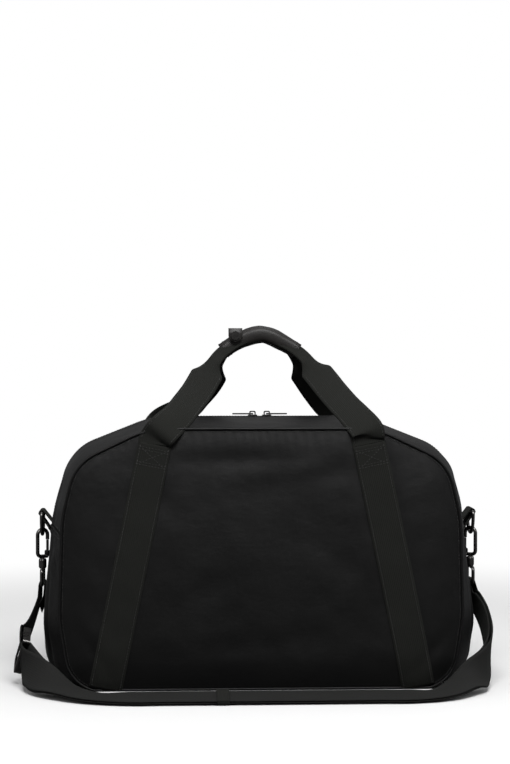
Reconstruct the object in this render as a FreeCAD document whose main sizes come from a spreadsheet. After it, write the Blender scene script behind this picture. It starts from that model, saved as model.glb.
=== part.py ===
import FreeCAD, Part
import math
import os
import Sketcher

# A soft weekender bag with two webbing handles, a two-slider zip and a hooked-on shoulder strap.
# Origin: centre of the base, on the floor. +X is the bag's right, +Y its back, +Z up. Millimetres, degrees.

document = FreeCAD.newDocument("weekender_bag")

dimensions = {
    # bag body
    "seam_depth": 210, "seam_width": 448, "seam_height": 297, "bulge_width": 498, "crest_height": 308,
    "base_width_share": 0.95, "widest_height": 82, "shoulder_height": 260, "shoulder_width_share": 0.93,
    "top_flat": 264, "base_corner_radius": 42, "flank_radius": 200, "shoulder_radius": 62,
    "crown_radius": 110, "panel_bulge": 12, "panel_slope": 32,
    "shell_wall": 2.0, "lining_wall": 0.8, "gusset_seam_height": 176, "base_panel_width": 380,
    "board_length": 372, "board_width": 186, "board_wall": 2.5, "board_radius": 18,
    # zip
    "tape_width": 12, "tape_wall": 0.8, "tooth_width": 2.4, "tooth_gap": 1.2, "tooth_wall": 2.0,
    "zip_meet_x": 2.5, "slider_spacing": 17, "slider_length": 11, "slider_width": 9.6, "slider_wall": 1.3,
    "slider_gap": 2.8, "post_wall": 0.8, "post_length": 3.5, "bridge_height": 4.6, "bridge_wire": 1.4,
    "bridge_length": 7.6, "bridge_width": 2.0, "pull_length": 24, "pull_width": 7, "pull_wall": 1.5,
    "pull_eye_length": 5.6, "pull_bar": 1.5,
    # handles
    "webbing_width": 38, "webbing_wall": 1.6, "sewn_foot_x": 176, "sewn_top_x": 118, "sewn_top_drop": 2.5,
    "hinge_stand_off": 2,
    "handle_lean": 28, "handle_tilt": 41.3, "handle_rise": 150, "grip_width": 19, "grip_start": 118,
    "grip_taper": 22, "grip_arch_radius": 36, "grip_bend_radius": 30, "fold_gap": 2.6,
    "wrap_half_length": 40, "wrap_wall": 1.2, "wrap_room": 1.6,
    "snap_tab_width": 16, "snap_tab_length": 20, "snap_tab_wall": 1.4, "snap_tab_x": -27, "snap_tab_rise": 6,
    "cap_radius": 5.2, "cap_height": 1.8, "stud_radius": 4.2, "stud_height": 0.9,
    # side hardware
    "ring_x": 254.5, "ring_bar_height": 195, "ring_wire": 4, "ring_inner_width": 40, "ring_drop": 4,
    "ring_corner": 3.5, "tab_width": 34, "tab_wall": 1.5, "fit_gap": 0.4,
    "hook_wire": 4.4, "hook_width": 18, "hook_height": 34, "hook_turn": 35, "hook_tip_height": 22,
    "gate_radius": 1.6, "pin_radius": 0.8, "pivot_height": 7, "lug_wall": 1.2, "stem_radius": 2.3, "stem_length": 7,
    "stem_head_radius": 3.2, "stem_head_height": 1.6, "barrel_radius": 4.6, "barrel_height": 12,
    "base_loop_wire": 4, "base_loop_height": 14, "hook_room": 1.2,
    # shoulder strap
    "strap_wall": 1.5, "strap_gap": 0.6, "strap_front_y": -181, "keeper_x": -47, "keeper_length": 14,
    "keeper_wall": 1.6, "adjuster_length": 30, "adjuster_play": 12, "adjuster_rail": 4, "adjuster_bar": 5, "adjuster_wall": 2.0,
}

sheet = document.addObject("Spreadsheet::Sheet", "dims")
for row, (alias, number) in enumerate(dimensions.items(), 1):
    sheet.set(f"A{row}", alias)
    sheet.set(f"B{row}", str(number))
    sheet.setAlias(f"B{row}", alias)
document.recompute()


class Size:
    """A number from the sheet together with the expression that gives it, so both stay the same."""

    def __init__(self, value, text):
        self.value = float(value)
        self.text = text

    def joined(self, other, sign, value):
        return Size(value, f"({self.text} {sign} {asSize(other).text})")

    def __add__(self, other):
        return self.joined(other, "+", self.value + asSize(other).value)

    def __sub__(self, other):
        return self.joined(other, "-", self.value - asSize(other).value)

    def __mul__(self, other):
        return self.joined(other, "*", self.value * asSize(other).value)

    def __truediv__(self, other):
        return self.joined(other, "/", self.value / asSize(other).value)

    def __neg__(self):
        return Size(-self.value, f"(0 - {self.text})")

    def __radd__(self, other):
        return asSize(other) + self

    def __rsub__(self, other):
        return asSize(other) - self

    def __rmul__(self, other):
        return asSize(other) * self


def asSize(value):
    return value if isinstance(value, Size) else Size(value, repr(float(value)))


def dim(alias):
    return Size(sheet.get(alias), f"dims.{alias}")


def sine(angle):
    return Size(math.sin(math.radians(angle.value)), f"sin({angle.text})")


def cosine(angle):
    return Size(math.cos(math.radians(angle.value)), f"cos({angle.text})")


def bind(thing, **sizes):
    for name, size in sizes.items():
        thing.setExpression(name.replace("__", "."), asSize(size).text)
    return thing


def moveTo(thing, x=0, y=0, z=0):
    return bind(thing, Placement__Base__x=x, Placement__Base__y=y, Placement__Base__z=z)


def unitPlane(body, role):
    return next(plane for plane in body.Origin.OriginFeatures if plane.Role == role)


# ---------------------------------------------------------------- sketches


def newSketch(name, body=None, plane="XZ_Plane", offset=0):
    """A sketch in a body, on one of its planes, or a free one that stands in the XZ plane at y = offset."""
    if body:
        sketch = body.newObject("Sketcher::SketchObject", name)
        sketch.AttachmentSupport = (unitPlane(body, plane), [""])
        sketch.MapMode = "FlatFace"
        bind(sketch, AttachmentOffset__Base__z=offset)
    else:
        sketch = document.addObject("Sketcher::SketchObject", name)
        sketch.Placement = FreeCAD.Placement(FreeCAD.Vector(), FreeCAD.Rotation(FreeCAD.Vector(1, 0, 0), 90))
        bind(sketch, Placement__Base__y=offset)
    return sketch


def pinned(sketch, kind, geometry, position, size, name):
    index = sketch.addConstraint(Sketcher.Constraint(kind, -1, 1, geometry, position, size.value))
    sketch.renameConstraint(index, name)
    sketch.setExpression(f"Constraints.{name}", size.text)


def outline(sketch, corners, closed=True):
    """Straight runs between the corners (x, y, radius), each corner rounded by a tangent arc."""
    corners = [tuple(asSize(number) for number in corner) for corner in corners]
    points = [FreeCAD.Vector(x.value, y.value, 0) for x, y, _ in corners]
    count = len(points)
    arrive, leave, arcs = list(points), list(points), {}
    for i in range(count) if closed else range(1, count - 1):
        radius = corners[i][2].value
        if radius:
            back = (points[i - 1] - points[i]).normalize()
            onward = (points[(i + 1) % count] - points[i]).normalize()
            half = back.getAngle(onward) / 2
            arrive[i] = points[i] + back * (radius / math.tan(half))
            leave[i] = points[i] + onward * (radius / math.tan(half))
            centre = points[i] + (back + onward).normalize() * (radius / math.sin(half))
            left = (points[i] - points[i - 1]).cross(points[(i + 1) % count] - points[i]).z > 0
            first, last = (arrive[i], leave[i]) if left else (leave[i], arrive[i])
            turn = [math.atan2(p.y - centre.y, p.x - centre.x) for p in (first, last)]
            turn[1] += 2 * math.pi if turn[1] < turn[0] else 0
            circle = Part.Circle(centre, FreeCAD.Vector(0, 0, 1), radius)
            arcs[i] = (sketch.addGeometry(Part.ArcOfCircle(circle, *turn)), 1 if left else 2, 2 if left else 1)
    lines = {}
    for i in range(count if closed else count - 1):
        lines[i] = sketch.addGeometry(Part.LineSegment(leave[i], arrive[(i + 1) % count]))
    for i in range(count):
        x, y, radius = corners[i]
        before, after = lines.get((i - 1) % count if closed else i - 1), lines.get(i)
        if i in arcs:
            arc, start, end = arcs[i]
            sketch.addConstraint(Sketcher.Constraint("Tangent", before, 2, arc, start))
            sketch.addConstraint(Sketcher.Constraint("Tangent", arc, end, after, 1))
            index = sketch.addConstraint(Sketcher.Constraint("Radius", arc, radius.value))
            sketch.renameConstraint(index, f"corner{i}_radius")
            sketch.setExpression(f"Constraints.corner{i}_radius", radius.text)
            corner = sketch.addGeometry(Part.Point(points[i]), True)
            sketch.addConstraint(Sketcher.Constraint("PointOnObject", corner, 1, before))
            sketch.addConstraint(Sketcher.Constraint("PointOnObject", corner, 1, after))
            pinned(sketch, "DistanceX", corner, 1, x, f"corner{i}_x")
            pinned(sketch, "DistanceY", corner, 1, y, f"corner{i}_y")
            continue
        if before is not None and after is not None:
            sketch.addConstraint(Sketcher.Constraint("Coincident", before, 2, after, 1))
        line, end = (after, 1) if after is not None else (before, 2)
        pinned(sketch, "DistanceX", line, end, x, f"corner{i}_x")
        pinned(sketch, "DistanceY", line, end, y, f"corner{i}_y")
    return sketch


def circle(sketch, x, y, radius, name="ring"):
    x, y, radius = asSize(x), asSize(y), asSize(radius)
    centre = FreeCAD.Vector(x.value, y.value, 0)
    index = sketch.addGeometry(Part.Circle(centre, FreeCAD.Vector(0, 0, 1), radius.value))
    constraint = sketch.addConstraint(Sketcher.Constraint("Radius", index, radius.value))
    sketch.renameConstraint(constraint, f"{name}_radius")
    sketch.setExpression(f"Constraints.{name}_radius", radius.text)
    pinned(sketch, "DistanceX", index, 3, x, f"{name}_x")
    pinned(sketch, "DistanceY", index, 3, y, f"{name}_y")
    return sketch


def mirrored(corners):
    """The corners of one half, right of the middle, followed by the same corners on the left."""
    return corners + [(-x, y, radius) for x, y, radius in reversed(corners)]


# ---------------------------------------------------------------- solids

subparts = []


def asSubpart(solid, label):
    solid.Label = label
    subparts.append(solid)
    return solid


def box(name, x, y, z):
    """A box between the two ends given for each axis."""
    solid = document.addObject("Part::Box", name)
    bind(solid, Length=x[1] - x[0], Width=y[1] - y[0], Height=z[1] - z[0])
    return moveTo(solid, x[0], y[0], z[0])


def cut(name, base, tool):
    solid = document.addObject("Part::Cut", name)
    solid.Base, solid.Tool = base, tool
    return solid


def common(name, *shapes):
    solid = document.addObject("Part::MultiCommon", name)
    solid.Shapes = list(shapes)
    return solid


def fuse(name, *shapes):
    solid = document.addObject("Part::MultiFuse", name)
    solid.Shapes = list(shapes)
    return solid


def loft(name, sections, ruled=False):
    solid = document.addObject("Part::Loft", name)
    solid.Sections, solid.Solid, solid.Ruled = sections, True, ruled
    return solid


def inset(name, source, depth):
    ring = document.addObject("Part::Offset2D", name)
    ring.Source = source
    return bind(ring, Value=-asSize(depth))


def mirror(name, source, normal):
    copy = document.addObject("Part::Mirroring", name)
    copy.Source, copy.Normal = source, FreeCAD.Vector(*normal)
    return copy


def extrusion(name, sketch, direction, length):
    solid = document.addObject("Part::Extrusion", name)
    solid.Base, solid.DirMode, solid.Dir, solid.Solid = sketch, "Custom", FreeCAD.Vector(*direction), True
    return bind(solid, LengthFwd=length)


def newBody(label):
    return document.addObject("PartDesign::Body", label)


def pad(body, name, sketch, length, symmetric=True, reverse=False):
    feature = body.newObject("PartDesign::Pad", name)
    feature.Profile, feature.Reversed = sketch, reverse
    feature.SideType = "Symmetric" if symmetric else "One side"
    return bind(feature, Length=length)


def pocket(body, name, sketch, length):
    feature = body.newObject("PartDesign::Pocket", name)
    feature.Profile, feature.SideType = sketch, "Symmetric"
    return bind(feature, Length=length)


def pipe(body, name, section, path):
    feature = body.newObject("PartDesign::AdditivePipe", name)
    feature.Profile, feature.Spine = section, path
    return feature


def turned(body, name, sketch, kind="PartDesign::Revolution"):
    """A revolution, or a groove, about the vertical axis of the sketch."""
    feature = body.newObject(kind, name)
    feature.Profile, feature.ReferenceAxis = sketch, (sketch, ["V_Axis"])
    feature.Angle = 360
    return feature


# ---------------------------------------------------------------- bag body

halfDepth = dim("seam_depth") / 2
slopeRun = dim("panel_slope") / dim("panel_bulge")
slopeLength = Size(math.hypot(dim("panel_slope").value, dim("panel_bulge").value),
                   "sqrt(dims.panel_slope ^ 2 + dims.panel_bulge ^ 2)")
farAway = 400


def bagSection(name, y, width, height):
    """The bag's outline in a plane across its depth: flat base, flared flanks, soft shoulders, flat crest."""
    half = width / 2
    shoulder = dim("shoulder_height") + height - dim("crest_height")
    return outline(newSketch(name, offset=y), mirrored([
        (half * dim("base_width_share"), 0, dim("base_corner_radius")),
        (half, dim("widest_height"), dim("flank_radius")),
        (half * dim("shoulder_width_share"), shoulder, dim("shoulder_radius")),
        (dim("top_flat") / 2, height, dim("crown_radius")),
    ]))


def seamSection(name, y):
    return bagSection(name, y, dim("seam_width"), dim("seam_height"))


frontSeam = seamSection("front_seam", -halfDepth)
backSeam = seamSection("back_seam", halfDepth)
middle = bagSection("bulge", 0, dim("bulge_width"), dim("crest_height"))


def insetOf(name, source, depth):
    return inset(name, source, depth) if asSize(depth).value else source


def band(name, depth):
    """The gusset all round, a fair surface through the front seam, the bulge and the back seam."""
    return loft(name, [insetOf(f"{name}_{s.Name}", s, depth) for s in (frontSeam, middle, backSeam)])


def pillow(name, depth):
    """The padded front: a slope all round that rises from the seam to a flat field."""
    depth = asSize(depth)
    slant = depth * slopeLength / dim("panel_bulge")
    rise = dim("panel_bulge") - depth
    foot = insetOf(f"{name}_foot", frontSeam, slant)
    field = inset(f"{name}_field", seamSection(f"{name}_plane", -halfDepth - rise), slant + rise * slopeRun)
    return loft(name, [foot, field], ruled=True)


outer, inner = band("band_outer", 0), band("band_inner", dim("shell_wall"))
liningDepth = dim("shell_wall") + dim("lining_wall")
core = band("band_core", liningDepth)
gusset = cut("gusset", outer, inner)
slotHalf = dim("tooth_gap") / 2 + dim("tooth_width") + dim("tape_width")
seamTop = dim("gusset_seam_height")
zipSlot = box("zip_slot", (-farAway, farAway), (-slotHalf, slotHalf), (seamTop, farAway))
baseHalf = dim("base_panel_width") / 2

pillowOuter, pillowInner = pillow("pillow_outer", 0), pillow("pillow_inner", dim("shell_wall"))
frontPanel = asSubpart(cut("front_panel", pillowOuter, pillowInner), "front_panel")
asSubpart(mirror("back_panel", frontPanel, (0, 1, 0)), "back_panel")

frontHalf = box("front_half", (-farAway, farAway), (-farAway, -slotHalf), (seamTop, farAway))
topGusset = asSubpart(common("top_gusset_front", gusset, frontHalf), "top_gusset_front")
asSubpart(mirror("top_gusset_back", topGusset, (0, 1, 0)), "top_gusset_back")
endRegion = box("end_region", (baseHalf, farAway), (-farAway, farAway), (-farAway, seamTop))
endGusset = asSubpart(common("end_gusset_right", gusset, endRegion), "end_gusset_right")
asSubpart(mirror("end_gusset_left", endGusset, (1, 0, 0)), "end_gusset_left")
baseRegion = box("base_region", (-baseHalf, baseHalf), (-farAway, farAway), (0, seamTop))
asSubpart(common("base_panel", baseRegion, gusset), "base_panel")

liningReach = halfDepth - dim("lining_wall")
hollow = common("lining_hollow", core, box("lining_reach", (-farAway, farAway), (-liningReach, liningReach),
                                           (-farAway, farAway)))
asSubpart(cut("lining", cut("lining_bag", inner, hollow), zipSlot), "lining")

board = newBody("base_board")
boardOutline = outline(newSketch("board_outline", board, "XY_Plane", liningDepth + dim("fit_gap")), mirrored([
    (dim("board_length") / 2, -dim("board_width") / 2, dim("board_radius")),
    (dim("board_length") / 2, dim("board_width") / 2, dim("board_radius"))]))
pad(board, "board_pad", boardOutline, dim("board_wall"), symmetric=False)
asSubpart(board, "base_board")

# ---------------------------------------------------------------- zip

crest = dim("crest_height")


def zipStrip(name, top, wall, near, far):
    """A strip of the zip's tape or teeth, in the gusset's curve, between two distances from the middle."""
    layer = cut(f"{name}_layer", band(f"{name}_top", top), band(f"{name}_under", top + wall))
    region = box(f"{name}_region", (-farAway, farAway), (-far, -near), (seamTop, farAway))
    return common(name, layer, region)


toothNear = dim("tooth_gap") / 2
toothFar = toothNear + dim("tooth_width")
tapeTop = (dim("shell_wall") - dim("tape_wall")) / 2
tape = asSubpart(zipStrip("zip_tape_front", tapeTop, dim("tape_wall"), toothFar, slotHalf), "zip_tape_front")
asSubpart(mirror("zip_tape_back", tape, (0, 1, 0)), "zip_tape_back")
teeth = asSubpart(zipStrip("zip_teeth_front", asSize(0.01), dim("tooth_wall"), toothNear, toothFar), "zip_teeth_front")
asSubpart(mirror("zip_teeth_back", teeth, (0, 1, 0)), "zip_teeth_back")

gapTop = crest - dim("tooth_wall") / 2 + dim("slider_gap") / 2
gapUnder = gapTop - dim("slider_gap")
pullHeight = gapTop + dim("slider_wall") + dim("pull_bar") / 2 + dim("fit_gap")


def zipSlider(side, sign):
    """Two plates round the teeth, held by a post, with a bridge that carries the pull."""
    x = dim("zip_meet_x") + sign * dim("slider_spacing") / 2
    slider = newBody(f"zip_slider_{side}")
    half = dim("slider_width") / 2
    nose = dim("slider_length") / 2
    for name, low in (("upper", gapTop), ("lower", gapUnder - dim("slider_wall"))):
        plate = outline(newSketch(f"{name}_plate_{side}", slider, "XY_Plane", low), [
            (x - sign * nose, -sign * half, 1), (x + sign * nose, -sign * half * 0.7, 2.5),
            (x + sign * nose, sign * half * 0.7, 2.5), (x - sign * nose, sign * half, 1)])
        pad(slider, f"{name}_{side}", plate, dim("slider_wall"), symmetric=False)
    post = outline(newSketch(f"post_plan_{side}", slider, "XY_Plane", gapUnder - dim("slider_wall") / 2), [
        (x - dim("post_length") / 2, -dim("post_wall") / 2, 0), (x + dim("post_length") / 2, -dim("post_wall") / 2, 0),
        (x + dim("post_length") / 2, dim("post_wall") / 2, 0), (x - dim("post_length") / 2, dim("post_wall") / 2, 0)])
    pad(slider, f"post_{side}", post, dim("slider_gap") + dim("slider_wall"), symmetric=False)
    foot = gapTop + dim("slider_wall") / 2
    top = gapTop + dim("slider_wall") + dim("bridge_height")
    reach, wire = dim("bridge_length") / 2, dim("bridge_wire")
    arch = outline(newSketch(f"bridge_arch_{side}", slider), [
        (x - reach, foot, 0), (x - reach + wire, foot, 0), (x - reach + wire, top - wire, 1),
        (x + reach - wire, top - wire, 1), (x + reach - wire, foot, 0), (x + reach, foot, 0),
        (x + reach, top, 1.8), (x - reach, top, 1.8)])
    pad(slider, f"bridge_{side}", arch, dim("bridge_width"))
    asSubpart(slider, f"zip_slider_{side}")

    pull = newBody(f"zip_pull_{side}")
    half, bar = dim("pull_width") / 2, dim("pull_bar") / 2
    tip = x + sign * dim("pull_length")
    plan = outline(newSketch(f"pull_plan_{side}", pull, "XY_Plane", pullHeight), [
        (x - sign * bar, -sign * half, 0.6), (tip, -sign * half * 0.8, 2.6),
        (tip, sign * half * 0.8, 2.6), (x - sign * bar, sign * half, 0.6)])
    pad(pull, f"pull_plate_{side}", plan, dim("pull_wall"))
    eyeHalf = dim("bridge_width") / 2 + dim("fit_gap")
    eye = outline(newSketch(f"pull_eye_{side}", pull, "XY_Plane", pullHeight), [
        (x + sign * bar, -sign * eyeHalf, 0), (x + sign * (bar + dim("pull_eye_length")), -sign * eyeHalf, 0),
        (x + sign * (bar + dim("pull_eye_length")), sign * eyeHalf, 0), (x + sign * bar, sign * eyeHalf, 0)])
    pocket(pull, f"pull_window_{side}", eye, 2 * dim("pull_wall"))
    asSubpart(pull, f"zip_pull_{side}")


zipSlider("left", -1)
zipSlider("right", 1)

# ---------------------------------------------------------------- handles

webbingHalf = dim("webbing_width") / 2
sewnTop = dim("seam_height") - dim("sewn_top_drop")
sewnLean = (dim("sewn_foot_x") - dim("sewn_top_x")) / sewnTop
sewnHalf = webbingHalf * Size(math.hypot(1, sewnLean.value), f"sqrt(1 + {sewnLean.text} ^ 2)")
webbingSkin = cut("webbing_skin", pillow("webbing_over", -dim("webbing_wall")), pillowOuter)
sewnRight = outline(newSketch("sewn_outline", offset=-halfDepth + dim("panel_bulge")), [
    (dim("sewn_foot_x") - sewnHalf, 0, 0), (dim("sewn_foot_x") + sewnHalf, 0, 0),
    (dim("sewn_top_x") + sewnHalf, sewnTop, 0), (dim("sewn_top_x") - sewnHalf, sewnTop, 0)])
sewnBlock = extrusion("sewn_block", sewnRight, (0, -1, 0), 4 * dim("panel_bulge"))
sewn = asSubpart(common("sewn_webbing_front_right", sewnBlock, webbingSkin), "sewn_webbing_front_right")
sewnLeft = asSubpart(mirror("sewn_webbing_front_left", sewn, (1, 0, 0)), "sewn_webbing_front_left")
asSubpart(mirror("sewn_webbing_back_right", sewn, (0, 1, 0)), "sewn_webbing_back_right")
asSubpart(mirror("sewn_webbing_back_left", sewnLeft, (0, 1, 0)), "sewn_webbing_back_left")

hingeY = halfDepth + dim("hinge_stand_off")
hingeZ = dim("seam_height")
leanSine, leanCosine = sine(dim("handle_lean")), cosine(dim("handle_lean"))
tiltSine, tiltCosine = sine(dim("handle_tilt")), cosine(dim("handle_tilt"))
gripHalf = dim("grip_width") / 2


def legPoint(along, aside, radius):
    """A corner at a distance along a leg's middle line and a distance outwards from it."""
    return (dim("sewn_top_x") - along * leanSine + aside * leanCosine,
            along * leanCosine + aside * leanSine, radius)


def archPoint(rise, aside, radius=0):
    """A corner of the leg's line that is moved outwards by aside, at the given rise."""
    return (dim("sewn_top_x") - rise * leanSine / leanCosine + aside / leanCosine, asSize(rise), radius)


def handle(name, sign, slack=0):
    """A flat webbing loop, half as wide over the grip, that leans in over the bag; slack makes it thicker."""
    loop = newBody(name)
    wide, narrow = webbingHalf + slack, gripHalf + slack
    start, end = dim("grip_start"), dim("grip_start") + dim("grip_taper")
    bend, arch = dim("grip_bend_radius"), dim("grip_arch_radius")
    outerEdge = [archPoint(dim("fold_gap"), wide), legPoint(start, wide, bend), legPoint(end, narrow, bend),
                 archPoint(dim("handle_rise") + narrow, narrow, arch + narrow)]
    innerEdge = [archPoint(dim("fold_gap"), -wide), legPoint(start, -wide, bend), legPoint(end, -narrow, bend),
                 archPoint(dim("handle_rise") - narrow, -narrow, arch - narrow)]
    edges = mirrored(outerEdge) + [(-x, y, radius) for x, y, radius in innerEdge] + innerEdge[::-1]
    plan = outline(newSketch(f"{name}_outline", loop), edges)
    pad(loop, f"{name}_pad", plan, dim("webbing_wall") + 2 * asSize(slack))
    loop.Placement.Rotation = FreeCAD.Rotation(FreeCAD.Vector(sign, 0, 0), 1)
    bind(loop, Placement__Rotation__Angle=dim("handle_tilt"))
    return moveTo(loop, 0, sign * hingeY, hingeZ)


asSubpart(handle("handle_front", -1), "handle_front")
asSubpart(handle("handle_back", 1), "handle_back")

wrapInside = gripHalf + dim("wrap_room")
wrapOutside = wrapInside + dim("wrap_wall")
wrapRoomDepth = hingeY - (dim("handle_rise") - wrapInside) * tiltSine + dim("wrap_room")
wrapDepth = wrapRoomDepth + dim("wrap_wall")


def gripBand(name, aside, depth):
    """The handles' grip seen from the front, as a solid arch of the given half height and half depth."""
    ends = dim("grip_start") + dim("grip_taper") / 2
    def raised(corner):
        return (corner[0], hingeZ + corner[1] * tiltCosine, corner[2])
    outside = [raised(legPoint(ends, aside, 0)),
               raised(archPoint(dim("handle_rise") + aside, aside, dim("grip_arch_radius") + aside))]
    inside = [raised(legPoint(ends, -aside, 0)),
              raised(archPoint(dim("handle_rise") - aside, -aside, dim("grip_arch_radius") - aside))]
    arch = outline(newSketch(f"{name}_arch", offset=depth), mirrored(outside)
                   + [(-x, y, radius) for x, y, radius in inside] + inside[::-1])
    return extrusion(name, arch, (0, -1, 0), 2 * depth)


wrapTube = cut("wrap_tube", gripBand("wrap_outside", wrapOutside, wrapDepth),
               gripBand("wrap_inside", wrapInside, wrapRoomDepth))
legRoom = fuse("leg_room", handle("room_front", -1, dim("fit_gap")), handle("room_back", 1, dim("fit_gap")))
wrapEnds = (-dim("wrap_half_length"), dim("wrap_half_length"))
wrapRegion = box("wrap_region", wrapEnds, (-farAway, farAway), (hingeZ, 2 * farAway))
asSubpart(common("handle_wrap", cut("wrap_notched", wrapTube, legRoom), wrapRegion), "handle_wrap")

snapX = dim("snap_tab_x")
gripHeight = hingeZ + dim("handle_rise") * tiltCosine
snapTop = gripHeight + dim("snap_tab_rise")
snapCentre = snapTop - dim("snap_tab_length") + dim("snap_tab_width") / 2
tabBack = -wrapDepth - dim("stud_height") - dim("fit_gap")


def snapDisc(name, radius, front, height):
    disc = newBody(name)
    round_ = circle(newSketch(f"{name}_circle", disc, "XZ_Plane", -front), snapX, snapCentre, radius)
    pad(disc, f"{name}_pad", round_, height, symmetric=False)
    return disc


tab = newBody("snap_tab")
tabHalf = dim("snap_tab_width") / 2
tabPlan = outline(newSketch("snap_tab_plan", tab, "XZ_Plane", -tabBack), [
    (snapX - tabHalf, snapTop - dim("snap_tab_length"), tabHalf * 0.95),
    (snapX + tabHalf, snapTop - dim("snap_tab_length"), tabHalf * 0.95),
    (snapX + tabHalf, snapTop, 1), (snapX - tabHalf, snapTop, 1)])
pad(tab, "snap_tab_pad", tabPlan, dim("snap_tab_wall"), symmetric=False)
asSubpart(tab, "snap_tab")
asSubpart(snapDisc("snap_cap", dim("cap_radius"), tabBack - dim("snap_tab_wall"), dim("cap_height")), "snap_cap")
asSubpart(snapDisc("snap_stud", dim("stud_radius"), -wrapDepth, dim("stud_height")), "snap_stud")

# ---------------------------------------------------------------- side hardware

ringHalf = (dim("ring_inner_width") + dim("ring_wire")) / 2
ringLow = dim("ring_bar_height") - dim("ring_drop") - ringHalf
hookTop = ringLow + dim("ring_wire") / 2 + dim("hook_room") + dim("hook_wire") / 2
headBase = hookTop - dim("hook_height")
hookHalf = (dim("hook_width") - dim("hook_wire")) / 2
loopLow = -dim("barrel_height") - dim("base_loop_height") - dim("base_loop_wire")
strapBar = headBase + loopLow
flankFall = (1 - dim("shoulder_width_share")) * dim("bulge_width") / 2
flankRun = dim("shoulder_height") - dim("widest_height")
seamHalfWidth = dim("bulge_width") / 2 - flankFall * (seamTop - dim("widest_height")) / flankRun


def cylinder(name, radius, length, x, y, z, axis=(0, 1, 0)):
    """A cylinder centred on the given point, with its axis along the given direction."""
    solid = document.addObject("Part::Cylinder", name)
    bind(solid, Radius=radius, Height=length)
    solid.Placement.Rotation = FreeCAD.Rotation(FreeCAD.Vector(0, 0, 1), FreeCAD.Vector(*axis))
    half = asSize(length) / 2
    return moveTo(solid, x - half * axis[0], y - half * axis[1], z - half * axis[2])


def turnAbout(body, angle, x, z):
    body.Placement.Rotation = FreeCAD.Rotation(FreeCAD.Vector(0, 0, 1), 1)
    bind(body, Placement__Rotation__Angle=angle)
    return moveTo(body, x, 0, z)


def sideTab(side, sign):
    """A folded webbing tab: an eye round the ring's bar and a tail sewn over the gusset's seam."""
    barX, barZ = sign * dim("ring_x"), dim("ring_bar_height")
    eyeRadius = dim("ring_wire") / 2 + dim("fit_gap")
    outerRadius = eyeRadius + dim("tab_wall")
    wall = 2 * dim("tab_wall")
    tail = outline(newSketch(f"tab_tail_{side}", offset=dim("tab_width") / 2), [
        (barX, barZ + outerRadius, 0), (sign * (seamHalfWidth - wall), seamTop + 2 * wall, 0),
        (sign * (seamHalfWidth - wall), seamTop, 0), (sign * (seamHalfWidth + wall), seamTop, 0),
        (barX - sign * eyeRadius, barZ - outerRadius, 0)][::sign])
    tailBlock = extrusion(f"tab_tail_block_{side}", tail, (0, -1, 0), dim("tab_width"))
    eye = cylinder(f"tab_eye_{side}", outerRadius, dim("tab_width"), barX, 0, barZ)
    bore = cylinder(f"tab_bore_{side}", eyeRadius, 2 * dim("tab_width"), barX, 0, barZ)
    folded = cut(f"tab_folded_{side}", fuse(f"tab_blank_{side}", tailBlock, eye), bore)
    asSubpart(cut(f"side_tab_{side}", folded, outer), f"side_tab_{side}")


def dRing(side, sign):
    ring = newBody(f"d_ring_{side}")
    corner, deep = dim("ring_corner"), -dim("ring_drop") - ringHalf
    path = outline(newSketch(f"ring_path_{side}", ring, "YZ_Plane"), [
        (0, 0, 0), (-ringHalf, 0, corner), (-ringHalf, deep, ringHalf - 0.4),
        (ringHalf, deep, ringHalf - 0.4), (ringHalf, 0, corner)])
    section = circle(newSketch(f"ring_section_{side}", ring), 0, 0, dim("ring_wire") / 2)
    pipe(ring, f"ring_pipe_{side}", section, path)
    moveTo(ring, sign * dim("ring_x"), 0, dim("ring_bar_height"))
    asSubpart(ring, f"d_ring_{side}")


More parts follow.
